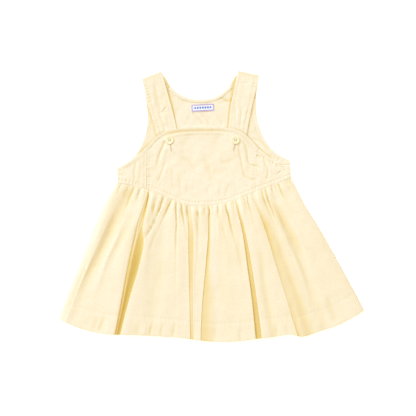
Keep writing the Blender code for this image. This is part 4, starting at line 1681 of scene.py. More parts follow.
BACK_CREASES = rows(
    Crease,
    ([(-28.5, 140), (-20, 131), (-9, 119)], 1.5, -0.95, 1, 0.1, 0.3),
    ([(-17, 140), (-9, 132), (-1, 119)], 1.5, -0.85, 1, 0.2, 0.2),
    ([(-23, 139), (-14, 130), (-5, 120)], 2.5, 0.6),
    ([(-10, 138), (-3, 132), (2, 128.5), (7, 129.5), (8, 134)], 1.4, -0.4),
    ([(11, 140), (12, 132), (16, 125), (19, 119)], 2.6, -0.6),
    ([(-61, 172), (-50, 165.5), (-45, 161), (-37, 152)], 1.3, -0.9, 1, 0.1, 0.3),
    ([(-41, 160), (-36, 157), (-32, 153)], 1.1, -0.6),
    ([(2, 157.5), (10, 160.5), (17, 161.5), (21, 158.5), (27, 157.3)], 1.3, -0.9, 1, 0.2, 0.1),
    ([(7, 154), (15, 154.5), (22, 155)], 2, -0.4),
    ([(-58, 166), (-55, 163), (-52, 160)], 2.5, -0.5),
    ([(-57, 146), (-51, 144), (-45, 143)], 2.5, -0.45),
    ([(-37, 136), (-34, 131), (-31, 125)], 2.5, -0.45),
    ([(-94, 121), (-95, 112), (-97, 103)], 1.5, -0.5),
    ([(-97, 101), (-91, 103), (-87, 106)], 1.5, -0.45),
    ([(65, 118), (67, 110), (72, 103)], 1.4, -0.7),
    ([(59, 109.5), (63, 109.5), (67, 108)], 1.1, -0.5),
    ([(59, 102.5), (66, 100.5), (74, 96.5), (81, 90), (87, 83), (93, 79)], 1.5, -0.95, 1, 0.05, 0.4),
    ([(-50, 116), (-14, 117.5), (24, 117)], 2.6, 0.9, 1, 0.1, 0.1),
)
BACK_SHADOWS = rows(  # painted shadow where less light reaches the back: their heights are shares of painted shade
    Crease,
    ([(-70, 194), (-65.6, 181), (-64, 172), (-62.6, 166)], 3.6, 0.5, 1, 0.05, 0.3, 0.6),
    ([(36.5, 196), (33, 182), (31.2, 170), (29.8, 156)], 3.2, 0.5, 1, 0.05, 0.15, 0.7),
    ([(-63.8, 170), (-59.6, 152), (-56.2, 136), (-52.4, 116)], 1.9, 0.58, 1, 0.05, 0, 0.6),
    ([(29.2, 163), (26.8, 145), (25.2, 130), (23.7, 115)], 1.2, 0.62, 1, 0.05, 0),
    ([(-98.5, 167), (-96, 150), (-94, 141), (-90, 131), (-86.6, 121), (-83, 104)], 2.2, 0.34, 1, 0.2, 0.05),
    ([(68.5, 180), (65, 157), (61, 141), (57.4, 125), (54, 105)], 1.8, 0.28, 1, 0.2, 0.05),
    ([(13, 161.5), (21, 158.6), (30, 157.6)], 1.7, 0.34, 1, 0.4, 0.05),
)
STRAP_SHADOWS = rows(  # the folds at the shoulders turn away from the light
    Crease,
    ([(-105, 189.5), (-90, 195.5), (-76, 201)], 1.1, 0.22, 1, 0.05, 0.05),
    ([(40, 202.5), (55, 199), (71.5, 195)], 1.2, 0.26, 1, 0.05, 0.05),
)
EDGE_SHADOWS = rows(  # on whatever lies just outside the bib's edge
    Crease,
    ([(-114, 75), (-104, 84.4), (-97, 90.6), (-89, 98.4), (-82, 105), (-75, 110), (-67, 113.6)],
     1.7, 0.4, 1, 0.15, 0.1),
    ([(26, 117.4), (34, 116.2), (41, 114), (47.5, 110.2), (54, 105.4), (61, 97.8), (69, 89.2),
      (80.5, 79.4), (94, 69.8)], 1.2, 0.42, 1, 0.15, 0.1),
)
STRAP_CREASES = rows(
    Crease,
    # the left strap
    ([(-87, 188), (-84, 178), (-82, 168), (-80, 157), (-77, 149), (-76, 140)], 2.6, -1, 1, 0.2, 0.2),
    ([(-88, 190), (-82, 186), (-78, 180), (-74, 172)], 1.5, -0.5),
    ([(-78, 140), (-71, 140.5), (-63, 142)], 1.4, -0.7),
    ([(-75, 141), (-70, 145), (-66, 150)], 1.6, -0.9),
    ([(-79, 147), (-77, 136), (-74, 127), (-70, 117), (-68, 112)], 1.6, -1.05, 1, 0.2, 0.1),
    ([(-72, 138), (-70, 128), (-66, 118)], 3, 0.6),
    ([(-90, 176), (-87, 160), (-84, 144)], 2.5, 0.5),
    # the right strap
    ([(42, 186), (48, 184), (54, 184), (60, 185)], 1.3, -0.5),
    ([(47, 182), (49, 179), (50, 176)], 1.5, -0.4),
    ([(43, 165), (47, 160), (51, 157)], 1.8, -0.45),
    ([(46, 150), (45, 140), (44, 130), (43, 115)], 1.8, -0.75, 1, 0.2, 0.1),
    ([(36, 150), (36, 135), (36, 120)], 1.4, -0.5),
    ([(52, 150), (50, 135), (47, 120)], 2.4, 0.5),
    ([(40, 160), (40, 140), (39, 122)], 2, 0.35),
)


@dataclass
class BackBodice(Part):
    """The back of the bodice with its bound neckline and two shoulders; its inside shows."""

    pitch: float = 1.15
    neck_length: float = 160.0
    side_length: float = 155.0
    shoulder_points: int = 26
    raised: float = 0.75  # how far its cloth stands off the table
    pressed: float = 0.7  # the share of its relief that the bib on it takes away
    pressed_from: Pair = (-110.0, -100.0)  # where along X the bib begins to press it
    pressed_to: Pair = (70.0, 80.0)  # where along X it no longer does
    pressed_below: Pair = (100.0, 118.0)  # and where along Y
    binding_length: float = 130.0
    binding_width: float = 5.0
    binding_thickness: float = 0.45
    binding_span: Pair = (0.15, 0.86)  # the shares of the neckline that it binds
    binding_rim: float = 0.5
    binding_inset: float = 0.25  # how far inside the neckline it begins
    binding_gap: float = 0.1  # the air between it and the back
    binding_bow: float = 0.28
    binding_ripple: float = 0.1
    waves: Waves = ((36.0, 0.22, 8), (14.0, 0.12, 9))
    pucker_seed: int = 7

    def top_edge(self) -> tuple[Array, Array]:
        """The points along the shoulders and the neckline, and their shares of its whole length."""
        neck = along(NECKLINE, shares_with_edges(self.neck_length, self.pitch, 0.4)[3:-3])
        top = np.concatenate([
            np.linspace(BACK_ARMHOLE_LEFT[-1], NECKLINE[0], self.shoulder_points)[:-1],
            neck[1:-1],
            np.linspace(NECKLINE[-1], BACK_ARMHOLE_RIGHT[-1], self.shoulder_points)[1:],
        ])
        run = lengths_along(top)
        share = run / run[-1]
        edge = rim_shares(CLOTH / 2 / run[-1])
        share = np.concatenate([edge, share[1:-1], 1 - edge[::-1]])
        return at_shares(top, share), share

    def surface(self) -> tuple[Array, Array]:
        """The middle of the back's cloth, and its painted shade."""
        top, u = self.top_edge()
        bottom = between(WAIST, WAIST[0][0] + (WAIST[-1][0] - WAIST[0][0]) * u) + (0.0, SEAM / 2)
        v = shares_with_edges(self.side_length, self.pitch)
        left = joined([SIDE_LEFT, BACK_ARMHOLE_LEFT], v)
        right = joined([SIDE_RIGHT, BACK_ARMHOLE_RIGHT], v)
        grid = patch(bottom, top, left, right, u, v)
        shadows = BACK_SHADOWS + EDGE_SHADOWS
        relief, tone = Relief(BACK_CREASES, self.waves, shadows, self.seams(), self.pucker_seed).on(grid)
        x, y = grid[..., 0], grid[..., 1]
        under_bib = smoothstep(*self.pressed_from, x) * (1 - smoothstep(*self.pressed_to, x))
        under_bib *= 1 - smoothstep(*self.pressed_below, y)
        relief = (relief + self.raised) * (1 - self.pressed * under_bib)
        return with_height(grid, BACK_LEVEL + np.clip(relief, 0.0, None)), tone

    def seams(self) -> list[Seam]:
        """The topstitching along both armholes."""
        return [
            Seam(offset_line(curve, inset, 0.1, 0.97), 0.5, 0.9, 0.2)
            for curve, inset in ((BACK_ARMHOLE_LEFT, 6.0), (BACK_ARMHOLE_RIGHT, -6.0))
        ]

    def binding(self, pile: Pile) -> ClothShell:
        """The strip that is turned in along the neckline.

        Args:
            pile: The cloth that lies under it.

        Returns:
            The strip.
        """
        first, last = self.binding_span
        shares = first + (last - first) * shares_with_edges(self.binding_length, 1.3)
        across = shares_with_edges(self.binding_width, 0.8, 0.5)[::-1]
        insets = self.binding_inset + across * self.binding_width
        grid = np.array([beside(NECKLINE, inset, shares) for inset in insets])
        at = lengths_along(grid, 1)
        level = pile.under(grid, 1.2, 1.0) + self.binding_gap + self.binding_thickness / 2
        level += self.binding_bow * np.sin(math.pi * across)[:, None]
        level += self.binding_ripple * np.sin(at / 3.1 + 2 * np.sin(at / 9.0))
        middle = with_height(grid, level)
        return ClothShell("neck_binding_strip", middle, 0.0, self.binding_thickness, self.binding_rim)

    def build(self, room: Workroom) -> None:
        """Makes the back, its binding and the stitches along it."""
        back = room.panel(ClothShell("bodice_back_cloth", *self.surface()), "bodice_back")
        binding = room.panel(self.binding(room.pile), "neck_binding")
        surface = Surface(back, binding)
        lines = [surface.laid(offset_line(NECKLINE, self.binding_width - 0.9, *self.binding_span))]
        sewn = room.stitches.sew("bodice_back_stitching", lines + surface.seams(self.seams()), 9)


class Strap(NamedTuple):
    """A strap from its shoulder to its end behind the bib."""

    side: str
    seam: Points  # its outer and its inner end at the shoulder
    fold: Points  # the ends of the fold over the shoulder
    outer: Points
    inner: Points


STRAPS = rows(
    Strap,
    (
        "left", [(-103.4, 185.2), (-72.1, 197)], [(-104.6, 190.5), (-75.7, 202)],
        [(-103.3, 184.6), (-99.6, 168.6), (-95.4, 153), (-90, 135), (-85.4, 121), (-81.8, 105),
         (-78.6, 87.5)],
        [(-73.4, 196.4), (-67.6, 176), (-62.6, 158), (-56.9, 136.5), (-52.4, 117.5), (-49.2, 102.5),
         (-47, 84.5)],
    ),
    (
        "right", [(70, 190.3), (37.6, 197.9)], [(71.3, 195.8), (40.2, 203.2)],
        [(70.3, 190), (67.4, 176), (63, 157.5), (59.2, 141.5), (55.4, 122.5), (52.6, 105), (50.4, 86.5)],
        [(38.4, 197.4), (35.2, 180.5), (30.8, 160), (28, 141.5), (25.8, 122.5), (23.8, 103.5), (21.8, 84.5)],
    ),
)


@dataclass
class Straps(Part):
    """The two straps, folded over at the shoulders and lying down the front of the back."""

    length: float = 108.0
    width: float = 32.0
    pitch: float = 0.95
    radius: float = 1.15  # of the fold, to the middle of the cloth
    under_rows: tuple[float, ...] = (0.0, 0.1, 0.4, 0.9)  # shares of the way from the seam to the fold
    fold_rows: int = 13
    lifted: float = 0.9  # how high the strap stands off the back near its fold
    clearance: float = 0.25  # the air between it and the back
    seam_rise: float = 0.05  # how far above the back's middle its seam lies
    brink: float = 0.02  # the share of its edges at which the fold may end
    past_fold: float = 1.2  # how far below the fold's axis its straight part begins
    bridged: Pair = (1.6, 2.0)  # how far round a step below it bridges, and comes down
    tone: float = 0.5  # how strongly shade is painted in its creases
    crease: float = 1.15  # how much deeper its creases are than their table says

    def turned_rows(self) -> int:
        """How many rows lie under the fold and round it."""
        return len(self.under_rows) + self.fold_rows

    def surface(self, strap: Strap) -> Array:
        """One strap before it lies on the back.

        Args:
            strap: The strap.

        Returns:
            The middle of its cloth: rows from its end behind the bib up and round the fold.
        """
        seam, fold = np.array(strap.seam), np.array(strap.fold)
        side = fold[1] - fold[0]
        outward = np.array([-side[1], side[0]]) / np.linalg.norm(side)
        outward *= np.sign(outward[1])
        axis = fold - outward * (self.radius + CLOTH / 2)
        low = BACK_LEVEL + self.seam_rise
        rows = [[(*a, low) for a in seam + (axis - seam) * share] for share in self.under_rows]
        for turn in np.linspace(0, math.pi, self.fold_rows):
            height = low + self.radius * (1 - math.cos(turn))
            rows.append([(*a, height) for a in axis + outward * self.radius * math.sin(turn)])
        start = along(strap.outer, np.array([self.brink]))[0]
        first = self.brink + max(0.0, start[1] - axis[0][1] + self.past_fold) / self.length
        down = first + (1 - first) * shares_with_edges(self.length, self.pitch)[3:]
        top = low + 2 * self.radius
        rows += [[(*a, top), (*b, top)] for a, b in zip(along(strap.outer, down), along(strap.inner, down))]
        rows = np.array(rows)[::-1]
        across = shares_with_edges(self.width, self.pitch)[None, :, None]
        grid = rows[:, :1] * (1 - across) + rows[:, 1:] * across
        return grid[:, ::-1] if grid[0, 0, 0] > grid[0, -1, 0] else grid

    def seams(self, strap: Strap) -> list[Seam]:
        """The topstitching down both edges, and the pucker beside the outer one.

        Args:
            strap: The strap.

        Returns:
            The seams.
        """
        side = 1.0 if strap.outer[0][0] > strap.inner[0][0] else -1.0
        puckered = 0.72 if side < 0 else 0.22
        return [
            Seam(offset_line(strap.outer, side * 5.4, 0.03), 0.5, 0.9, 0.04),
            Seam(offset_line(strap.inner, -side * 4.6, 0.03), 0.35, 0.9, 0.06),
            Seam(offset_line(strap.outer, side * 2.7, 0.03, puckered), 0.0, 0.9, 0.2, False),
        ]

    def draped(self, number: int, strap: Strap, pile: Pile) -> tuple[Array, Array]:
        """The middle of one strap's cloth as it lies on the back, and its painted shade.

        Args:
            number: Which strap it is, for its own unevenness.
            strap: The strap.
            pile: The cloth that lies under it.

        Returns:
            The grid of points, and the painted shade at each.
        """
        grid = self.surface(strap)
        waves = ((26.0, 0.24, 20 + number), (11.0, 0.12, 30 + number))
        shadows = STRAP_SHADOWS + EDGE_SHADOWS
        relief = Relief(STRAP_CREASES, waves, shadows, self.seams(strap), number, self.crease, self.tone)
        height, tone = relief.on(grid)
        y = grid[..., 1]
        fold_y = max(point[1] for point in strap.fold)
        level = pile.under(grid, *self.bridged) + self.clearance + CLOTH / 2 + height
        level += self.lifted * smoothstep(fold_y - 70.0, fold_y - 8.0, y)
        hanging = np.arange(len(grid))[:, None] < len(grid) - self.turned_rows()
        loose = np.where(hanging, 1 - smoothstep(fold_y - 20.0, fold_y - 6.0, y), 0.0)
        grid[..., 2] = grid[..., 2] * (1 - loose) + level * loose
        return grid, tone

    def build(self, room: Workroom) -> None:
        """Makes both straps and their stitches."""
        for number, strap in enumerate(STRAPS):
            node = f"strap_{strap.side}"
            shell = ClothShell(f"{node}_cloth", *self.draped(number, strap, room.pile))
            cloth = room.panel(shell, node, slice(-self.turned_rows()))
            lines = Surface(cloth).seams(self.seams(strap))
            sewn = room.stitches.sew(f"{node}_stitching", lines, 30 + number)


BIB_HEM = rows(  # the bib's turned upper edge stands up, and the cloth under its stitches bulges
    Crease,
    (offset_line(BIB_TOP, 0.3), 1, 0.95, 3, 0, 0),
    ([(-64, 103), (-52, 107), (-20, 109.8), (10, 109.4), (28, 106)], 1.6, 0.7, 1.4, 0.1, 0.3),
)
# painted shade in the band under the bib's raised upper edge
BIB_HEM_SHADE = rows(
    Crease,
    ([(-67, 105), (-60, 109.6), (-48, 111.8), (-20, 114), (5, 113.8), (20, 113.2), (30, 111)],
     3.2, 0.27, 1, 0.08, 0.3, 0.5),
)


class FrontPanel(NamedTuple):
    """One panel of the front bodice."""

    side: str
    top: Points
    left: Points
    right: Points
    insets: Pair  # how far its left and right edges lie inside their seams
    tall: float  # the length along which its rows are counted
    lines: list[Seam]
    flat: Pair  # the flat cloth's width and height, in metres
    area: float  # and its area


@dataclass
class FrontBodice(Part):
    """The bib and the two side fronts, over the back and the ends of the straps."""

    pitch: float = 1.0
    welt: float = 5.2  # how far above the waist seam its stitches lie
    below: float = 0.1  # how far the panels' lower edges reach into the waist seam
    waves: Pairs = ((34.0, 0.26), (13.0, 0.15), (6.5, 0.03))  # the lengths and heights of its unevenness
    bridged: Pair = (4.5, 4.5)  # how far round a step below it bridges, and comes down
    lifted: float = 0.25  # the room for its creases, over and above the gap

    def panels(self) -> list[FrontPanel]:
        """The panels with their topstitching."""
        half = SEAM / 2
        waist = offset_line(WAIST, -self.welt)
        left = rows(
            Seam, (waist, 0.55, 0.8, 0.3), (offset_line(ARMHOLE_LEFT, 5.4), 0.55, 0.9, 0.26),
            (offset_line(LEFT_SEAM, -4.0, 0.0, 0.85), 0.38, 0.9, 0.24),
        )
        centre = rows(
            Seam, (waist, 0.55, 0.8, 0.22), (offset_line(BIB_TOP, 5.4), 0.55, 1.0, 0.12),
            (offset_line(LEFT_SEAM, 4.0, 0.0, 0.85), 0.38, 0.9, 0.24),
            (offset_line(RIGHT_SEAM, -2.4), 0.2, 0.8, 0.08),
        )
        right = rows(
            Seam, (waist, 0.55, 0.8, 0.22), (offset_line(ARMHOLE_RIGHT, 5.2), 0.6, 0.9, 0.18),
            (offset_line(RIGHT_SEAM, 2.6), 0.2, 0.8, 0.08),
        )
        return rows(
            FrontPanel,
            ("left", ARMHOLE_LEFT, SIDE_LEFT, LEFT_SEAM, (0, half), 22.61, left, (0.048, 0.062), 0.0019),
            ("centre", BIB_TOP, LEFT_SEAM, RIGHT_SEAM, (half, half), 100, centre, (0.17, 0.118), 0.0157),
            ("right", ARMHOLE_RIGHT, RIGHT_SEAM, SIDE_RIGHT, (-half, 0), 67.64, right, (0.058, 0.068), 0.002),
        )

    def surface(self, panel: FrontPanel, pile: Pile, seed: int) -> tuple[Array, Array]:
        """The middle of one panel's cloth, draped over what lies under it, and its painted shade.

        Args:
            panel: The panel.
            pile: The cloth that lies under it.
            seed: Which unevenness it has.

        Returns:
            The grid of points, and the painted shade at each.
        """
        left = np.array(panel.left) + (panel.insets[0], 0.0)
        right = np.array(panel.right) - (panel.insets[1], 0.0)
        v = shares_with_edges(panel.tall, self.pitch)
        u = shares_with_edges(right[0, 0] - left[0, 0], self.pitch)
        bottom = between(WAIST, left[0, 0] + (right[0, 0] - left[0, 0]) * u) - (0.0, self.below)
        top = between(panel.top, left[-1, 0] + (right[-1, 0] - left[-1, 0]) * u)
        grid = patch(bottom, top, along(left, v), along(right, v), u, v)
        waves = tuple((wave, height, seed + number) for number, (wave, height) in enumerate(self.waves))
        relief, tone = Relief(BIB_CREASES + BIB_HEM, waves, BIB_HEM_SHADE, panel.lines, seed).on(grid)
        level = pile.under(grid, *self.bridged) + GAP + self.lifted + CLOTH / 2
        return with_height(grid, level + relief), tone

    def build(self, room: Workroom) -> None:
        """Makes the three panels, their stitches and the bib's buttonholes."""
        panels = self.panels()
        shells = [
            ClothShell(f"bodice_front_{panel.side}_cloth", *self.surface(panel, room.pile, 40 + number))
            for number, panel in enumerate(panels)
        ]
        cloths, lines = [], []
        for panel, shell in zip(panels, shells):
            places = BUTTON_PLACES if panel.side == "centre" else []
            slits = tuple(place.slit(Buttons.slit) for place in places)
            cloths.append(room.panel(shell, f"bodice_front_{panel.side}", cuts=slits))
            lines += Surface(cloths[-1]).seams(panel.lines)
        sewn = room.stitches.sew("bodice_front_stitching", lines, 50)


# Buttons, buttonholes and the label


def turned_about(centre: Pair, turn: float, across: Numbers,
                 up: Numbers) -> tuple:
    """Places that are given from a centre, once they are turned about it.

    Args:
        centre: The centre.
        turn: The angle, in radians.
        across: How far to the right of it they are.
        up: How far above it they are.

    Returns:
        Their places along X and along Y.
    """
    c, s = math.cos(turn), math.sin(turn)
    return centre[0] + across * c - up * s, centre[1] + across * s + up * c


def ring_faces(rings: int, sides: int) -> list[tuple[int, ...]]:
    """The faces between rings of points that follow each other.

    Args:
        rings: How many rings there are.
        sides: How many points each has.

    Returns:
        The faces.
    """
    return [
        (ring * sides + a, ring * sides + b, (ring + 1) * sides + b, (ring + 1) * sides + a)
        for ring in range(rings - 1)
        for a, b in ((side, (side + 1) % sides) for side in range(sides))
    ]


def tube(line: Array, radius: float, sides: int = 8) -> tuple[list, list]:
    """A closed tube along a line.

    Args:
        line: Its middle, as points in space.
        radius: How thick it is.
        sides: How many faces go round it.

    Returns:
        Its points and its faces.
    """
    line = np.asarray(line, float)
    forward = np.gradient(line, axis=0)
    forward /= np.linalg.norm(forward, axis=1)[:, None]
    across = np.cross(forward[0], (0.31, 0.27, 0.91))
    points = []
    for middle, way in zip(line, forward):
        across = across - way * (across @ way)
        across /= np.linalg.norm(across)
        other = np.cross(way, across)
        for turn in np.linspace(0, 2 * math.pi, sides, endpoint=False):
            points.append(middle + radius * (math.cos(turn) * across + math.sin(turn) * other))
    first, last = len(points), len(points) + 1
    points += [line[0] - forward[0] * radius * 0.6, line[-1] + forward[-1] * radius * 0.6]
    faces = ring_faces(len(line), sides)
    end = first - sides
    for side in range(sides):
        following = (side + 1) % sides
        faces += [(first, following, side), (last, end + side, end + following)]
    return points, faces


class ButtonPlace(NamedTuple):
    """A button's centre, and the ends of the buttonhole that it comes through."""

    side: str
    centre: Pair
    hole_top: Pair
    hole_end: Pair
    turn: float  # how far its four holes are turned, in radians

    def ring(self, width: float, taper: float) -> Array:
        """The four corners of a shape along the buttonhole.

        Args:
            width: How wide it is at its top.
            taper: How wide its end is beside its top.

        Returns:
            The corners, in order.
        """
        top, end = np.array(self.hole_top), np.array(self.hole_end)
        forward = (end - top) / np.linalg.norm(end - top)
        side = np.array([forward[1], -forward[0]]) * width / 2
        return np.array([top + side, end + side * taper, end - side * taper, top - side])

    def slit(self, width: float) -> Mesh:
        """The shape of the buttonhole's slit, right through the cloth.

        Args:
            width: How wide it is at its top.

        Returns:
            The closed shape.
        """
        points = [(*corner, z) for z in (-1.0, 12.0) for corner in self.ring(width, 0.6)]
        sides = [(a, (a + 1) % 4, (a + 1) % 4 + 4, a + 4) for a in range(4)]
        shape = mesh_of("slit", [(points, [(3, 2, 1, 0), (4, 5, 6, 7), *sides])])
        shape.shade_flat()
        return shape


BUTTON_PLACES = rows(
    ButtonPlace,
    ("left", (-62.9, 98.9), (-63.2, 100.4), (-60.1, 82.5), 0.15),
    ("right", (35.8, 98.9), (36.0, 100.4), (33.2, 83.2), -0.2),
)


@dataclass
class Buttons(Part):
    """The two four-hole buttons, their thread and their worked buttonholes."""

    slit: float = 0.45
    edging_width: float = 0.55
    radius: float = 6.5
    thickness: float = 1.9
    well_radius: float = 4.3
    well_depth: float = 0.5
    shank: float = 0.15
    hole_radius: float = 0.75
    hole_spacing: float = 2.4
    thread_radius: float = 0.3
    sides: int = 56
    strands: Pairs = ((-0.224, 0.0), (0.016, 0.16), (0.24, 0.02))  # how far aside and how much higher
    coil_radius: float = 1.15
    coil_turns: int = 4
    seat_radius: float = 5.0  # of the ring of cloth that it sits on
    seat_share: float = 80.0  # the percentage of that ring which lies below it

    def profile(self) -> Array:
        """The disc's section, from the middle of its well round its rim to the middle below."""
        r, inner, top, well = self.radius, self.well_radius, self.thickness, self.thickness - self.well_depth
        knots = [
            (0.05, well + 0.02), (inner * 0.6, well), (inner - 0.4, well + 0.05), (inner + 0.15, well + 0.25),
            (inner + 0.6, top - 0.06), (inner + 1.0, top), (r - 0.75, top - 0.08), (r - 0.25, top - 0.42),
            (r, top - 0.95), (r, 0.85), (r - 0.3, 0.35), (r - 1.0, 0.06), (r - 2.0, 0.0), (0.05, 0.0),
        ]
        return smooth_through(np.array(knots), [3] * (len(knots) - 1))

    def disc(self, place: ButtonPlace, base: float, resin: Material) -> Object:
        """One button: a turned disc with a rounded rim, a well and four holes.

        Args:
            place: Where it is.
            base: The height of its underside.
            resin: Its finish.

        Returns:
            The button.
        """
        profile = self.profile()
        x, y = place.centre
        points = [
            (x + q * math.cos(turn), y + q * math.sin(turn), base + z)
            for q, z in profile
            for turn in np.linspace(0, 2 * math.pi, self.sides, endpoint=False)
        ]
        faces = [face[::-1] for face in ring_faces(len(profile), self.sides)]
        below = (len(profile) - 1) * self.sides
        faces += [tuple(range(self.sides)), tuple(reversed(range(below, below + self.sides)))]
        name = f"button_{place.side}_disc"
        made = placed(name, mesh_of(name, [(points, faces)]))
        for hole in self.holes(place):
            line = np.array([(*hole, base + z) for z in (-1.0, 1.2, 4.0)])
            cut_out(made, mesh_of("drill", [tube(line, self.hole_radius, 20)]))
        made.data.materials.clear()
        made.data.materials.append(resin)
        made.data.set_sharp_from_angle(angle=math.radians(50))
        return made

    def holes(self, place: ButtonPlace) -> list[Pair]:
        """The holes of a button.

        Args:
            place: Where the button is.

        Returns:
            The centres of its four holes, two and two.
        """
        half = self.hole_spacing / 2
        return [
            turned_about(place.centre, place.turn, across, up)
            for across, up in ((-half, -half), (half, -half), (-half, half), (half, half))
        ]

    def strand(self, place: ButtonPlace, holes: Array, base: float, lift: float) -> tuple[list, list]:
        """One strand: up through a hole, over the well and down through the next hole.

        Args:
            place: Where the button is; under it the strand leans to its middle.
            holes: Where the strand comes up and goes down.
            base: The height of the button's underside.
            lift: How much higher than the lowest strand it runs.

        Returns:
            Its points and its faces.
        """
        start, end = holes
        well = base + self.thickness - self.well_depth
        heights = (base - self.shank - 1.0, well - 1.0, well - 0.1, well + 0.28 + lift, well + 0.42 + lift)
        shares = (0.0, 0.0, 0.02, 0.2, 0.5)
        up = [(*(start + (end - start) * share), z) for share, z in zip(shares, heights)]
        down = [(*(end + (start - end) * share), z) for share, z in zip(shares[:-1], heights[:-1])]
        knots = np.array(up + down[::-1])
        knots[[0, -1], :2] = (knots[[0, -1], :2] + place.centre) / 2
        return tube(smooth_through(knots, [4] * (len(knots) - 1), 3), self.thread_radius * 0.75)

    def thread(self, place: ButtonPlace, base: float, thread: Material) -> Object:
        """The thread of one button: strands across its well, and a wound shank under it.

        Args:
            place: Where the button is.
            base: The height of its underside.
            thread: The thread's finish.

        Returns:
            The thread.
        """
        holes = np.array(self.holes(place))
        parts = []
        for pair in (holes[:2], holes[2:]):
            way = pair[1] - pair[0]
            across = np.array([-way[1], way[0]]) / np.linalg.norm(way)
            for shift, lift in self.strands:
                parts.append(self.strand(place, pair + across * shift, base, lift))
        turn = 2 * math.pi * self.coil_turns
        coil = [
            (*turned_about(place.centre, turn * share, self.coil_radius, 0.0), base - 1.25 + share)
            for share in np.linspace(0, 1, 90)
        ]
        parts.append(tube(np.array(coil), self.thread_radius))
        name = f"button_{place.side}_sewing"
        made = placed(name, mesh_of(name, parts))
        made.data.materials.append(thread)
        return made

    def edging(self, place: ButtonPlace) -> Array:
        """The stitches that bind a buttonhole.

        Args:
            place: Where the buttonhole is.

        Returns:
            Their line: down one side and up the other.
        """
        ring = place.ring(self.slit + 2 * self.edging_width, 1.0)
        past = (ring[1] - ring[0]) / np.linalg.norm(ring[1] - ring[0]) * 0.8
        side = (ring[1] - ring[2]) / 4
        middle = (ring[1] + ring[2]) / 2 + past
        return np.array([ring[0], ring[1], middle + side, middle - side, ring[2], ring[3]])

    def build(self, room: Workroom) -> None:
        """Makes both buttons with their thread and buttonhole stitches."""
        surface = Surface(bpy.data.objects["bodice_front_centre_cloth"])
        around = np.linspace(0, 2 * math.pi, 24)
        for number, place in enumerate(BUTTON_PLACES):
            ring = place.centre + self.seat_radius * np.stack([np.cos(around), np.sin(around)], axis=1)
            base = float(np.percentile(surface.laid(ring)[:, 2], self.seat_share)) + self.shank
            dress_up(self.disc(place, base, room.resin), "button", f"button_{place.side}")
            dress_up(self.thread(place, base, room.thread), "thread", f"button_thread_{place.side}")
            room.stitches.sew(
                f"buttonhole_{place.side}_stitching", [surface.laid(self.edging(place), 0.0, 0.5)],
                60 + number, Pitch=0.00042, Length=0.0016, Width=0.00042, Height=0.0004, Turn=math.pi / 2,
            )


@dataclass
class NeckLabel(Part):
    """The woven label inside the back of the neck."""

    centre: Pair = (-13.5, 147.0)
    width: float = 34.0
    height: float = 10.4
    thickness: float = 0.7
    rim: float = 0.35
    turn: float = math.radians(3.2)
    clearance: float = 0.2  # the air between it and the back
    bow: float = 0.18  # how far it bows along its length
    lifted: float = 0.12  # how far its long edges stand up
    stitch_inset: float = 0.8
    stitch_half: float = 4.6  # half the length of the stitches at each end

    def build(self, room: Workroom) -> None:
        """Makes the label and the stitches at its two ends."""
        sides = (self.width, self.height)
        across, up = np.meshgrid(*((shares_with_edges(side, 0.7, self.rim) - 0.5) * side for side in sides))
        flat = np.stack(turned_about(self.centre, self.turn, across, up), axis=2)
        level = room.pile.under(flat, 1.6, 1.6) + self.clearance + self.thickness / 2
        level += self.bow * np.cos(across / 6.0) + self.lifted * (up / self.height * 2) ** 2
        shell = ClothShell("neck_label_woven", with_height(flat, level), 0.0, self.thickness, self.rim)
        label = dress_up(shell.build(room.satin), "label", "neck_label")
        surface = Surface(label)
        lines = []
        for end in (self.stitch_inset - self.width / 2, self.width / 2 - self.stitch_inset):
            line = [turned_about(self.centre, self.turn, end, way * self.stitch_half) for way in (-1, 1)]
            lines.append(surface.laid(np.array(line), 0.0, 0.5))
        sewn = room.stitches.sew(
            "neck_label_stitching", lines, 71, Pitch=0.0016, Length=0.0013, Width=0.00032, Height=0.0002,
        )


# Floor, light and camera


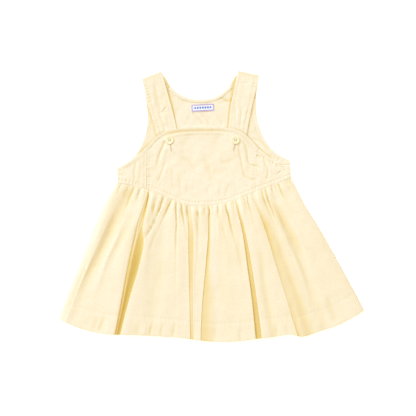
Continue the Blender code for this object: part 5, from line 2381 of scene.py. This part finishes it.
@dataclass
class Studio(Part):
    """A white floor under a large soft light from the upper left, seen from straight above."""

    view_width: float = 0.624
    lens: float = 150.0
    aim: Pair = (-0.0054, -0.003)
    floor_reach: float = 3.0
    floor_level: float = -0.0006
    key_way: tuple[float, float, float] = (-0.62, 0.62, 0.92)
    key_angle: float = math.radians(42.0)
    key_power: float = 2.78
    key_colour: tuple[float, float, float] = (0.468, 0.655, 1.0)
    sky_power: float = 0.738
    sky_colour: Colour = (1.0, 0.833, 0.528, 1.0)

    def floor(self, paper: Material) -> None:
        """Makes the floor.

        Args:
            paper: Its finish.
        """
        mesh = bpy.data.meshes.new("floor")
        corners = ((-1, -1), (1, -1), (1, 1), (-1, 1))
        points = [(x * self.floor_reach, y * self.floor_reach, self.floor_level) for x, y in corners]
        mesh.from_pydata(points, [], [(0, 1, 2, 3)])
        mesh.materials.append(paper)
        placed("floor", mesh)

    def light(self) -> None:
        """Makes the sun and the sky."""
        lamp = bpy.data.lights.new("key_light", "SUN")
        lamp.energy, lamp.angle, lamp.color = self.key_power, self.key_angle, self.key_colour
        key = placed("key_light", lamp)
        key.rotation_euler = (-Vector(self.key_way)).to_track_quat("-Z", "Y").to_euler()
        world = bpy.data.worlds.new("studio_white")
        world.use_nodes = True
        sky = world.node_tree.nodes["Background"].inputs
        sky["Color"].default_value, sky["Strength"].default_value = self.sky_colour, self.sky_power
        bpy.context.scene.world = world

    def camera(self) -> None:
        """Makes the camera, straight above the dress."""
        view = bpy.data.cameras.new("overhead_camera")
        view.lens = self.lens
        camera = placed("overhead_camera", view)
        camera.location = (*self.aim, self.view_width * self.lens / view.sensor_width)
        bpy.context.scene.camera = camera
        bpy.context.scene.view_settings.view_transform = "Standard"

    def build(self, room: Workroom) -> None:
        """Makes the floor, the lights and the camera."""
        self.floor(room.paper)
        self.light()
        self.camera()


def main() -> None:
    """Builds the dress from the table up, then the studio."""
    logging.basicConfig(level=logging.INFO, format="%(name)s: %(message)s")
    room = Workroom()
    for part in (BackBodice(), NeckLabel(), Straps(), Skirt(), FrontBodice(), Buttons(), Studio()):
        LOG.info("making %s", type(part).__name__)
        part.build(room)


if __name__ == "__main__":
    main()
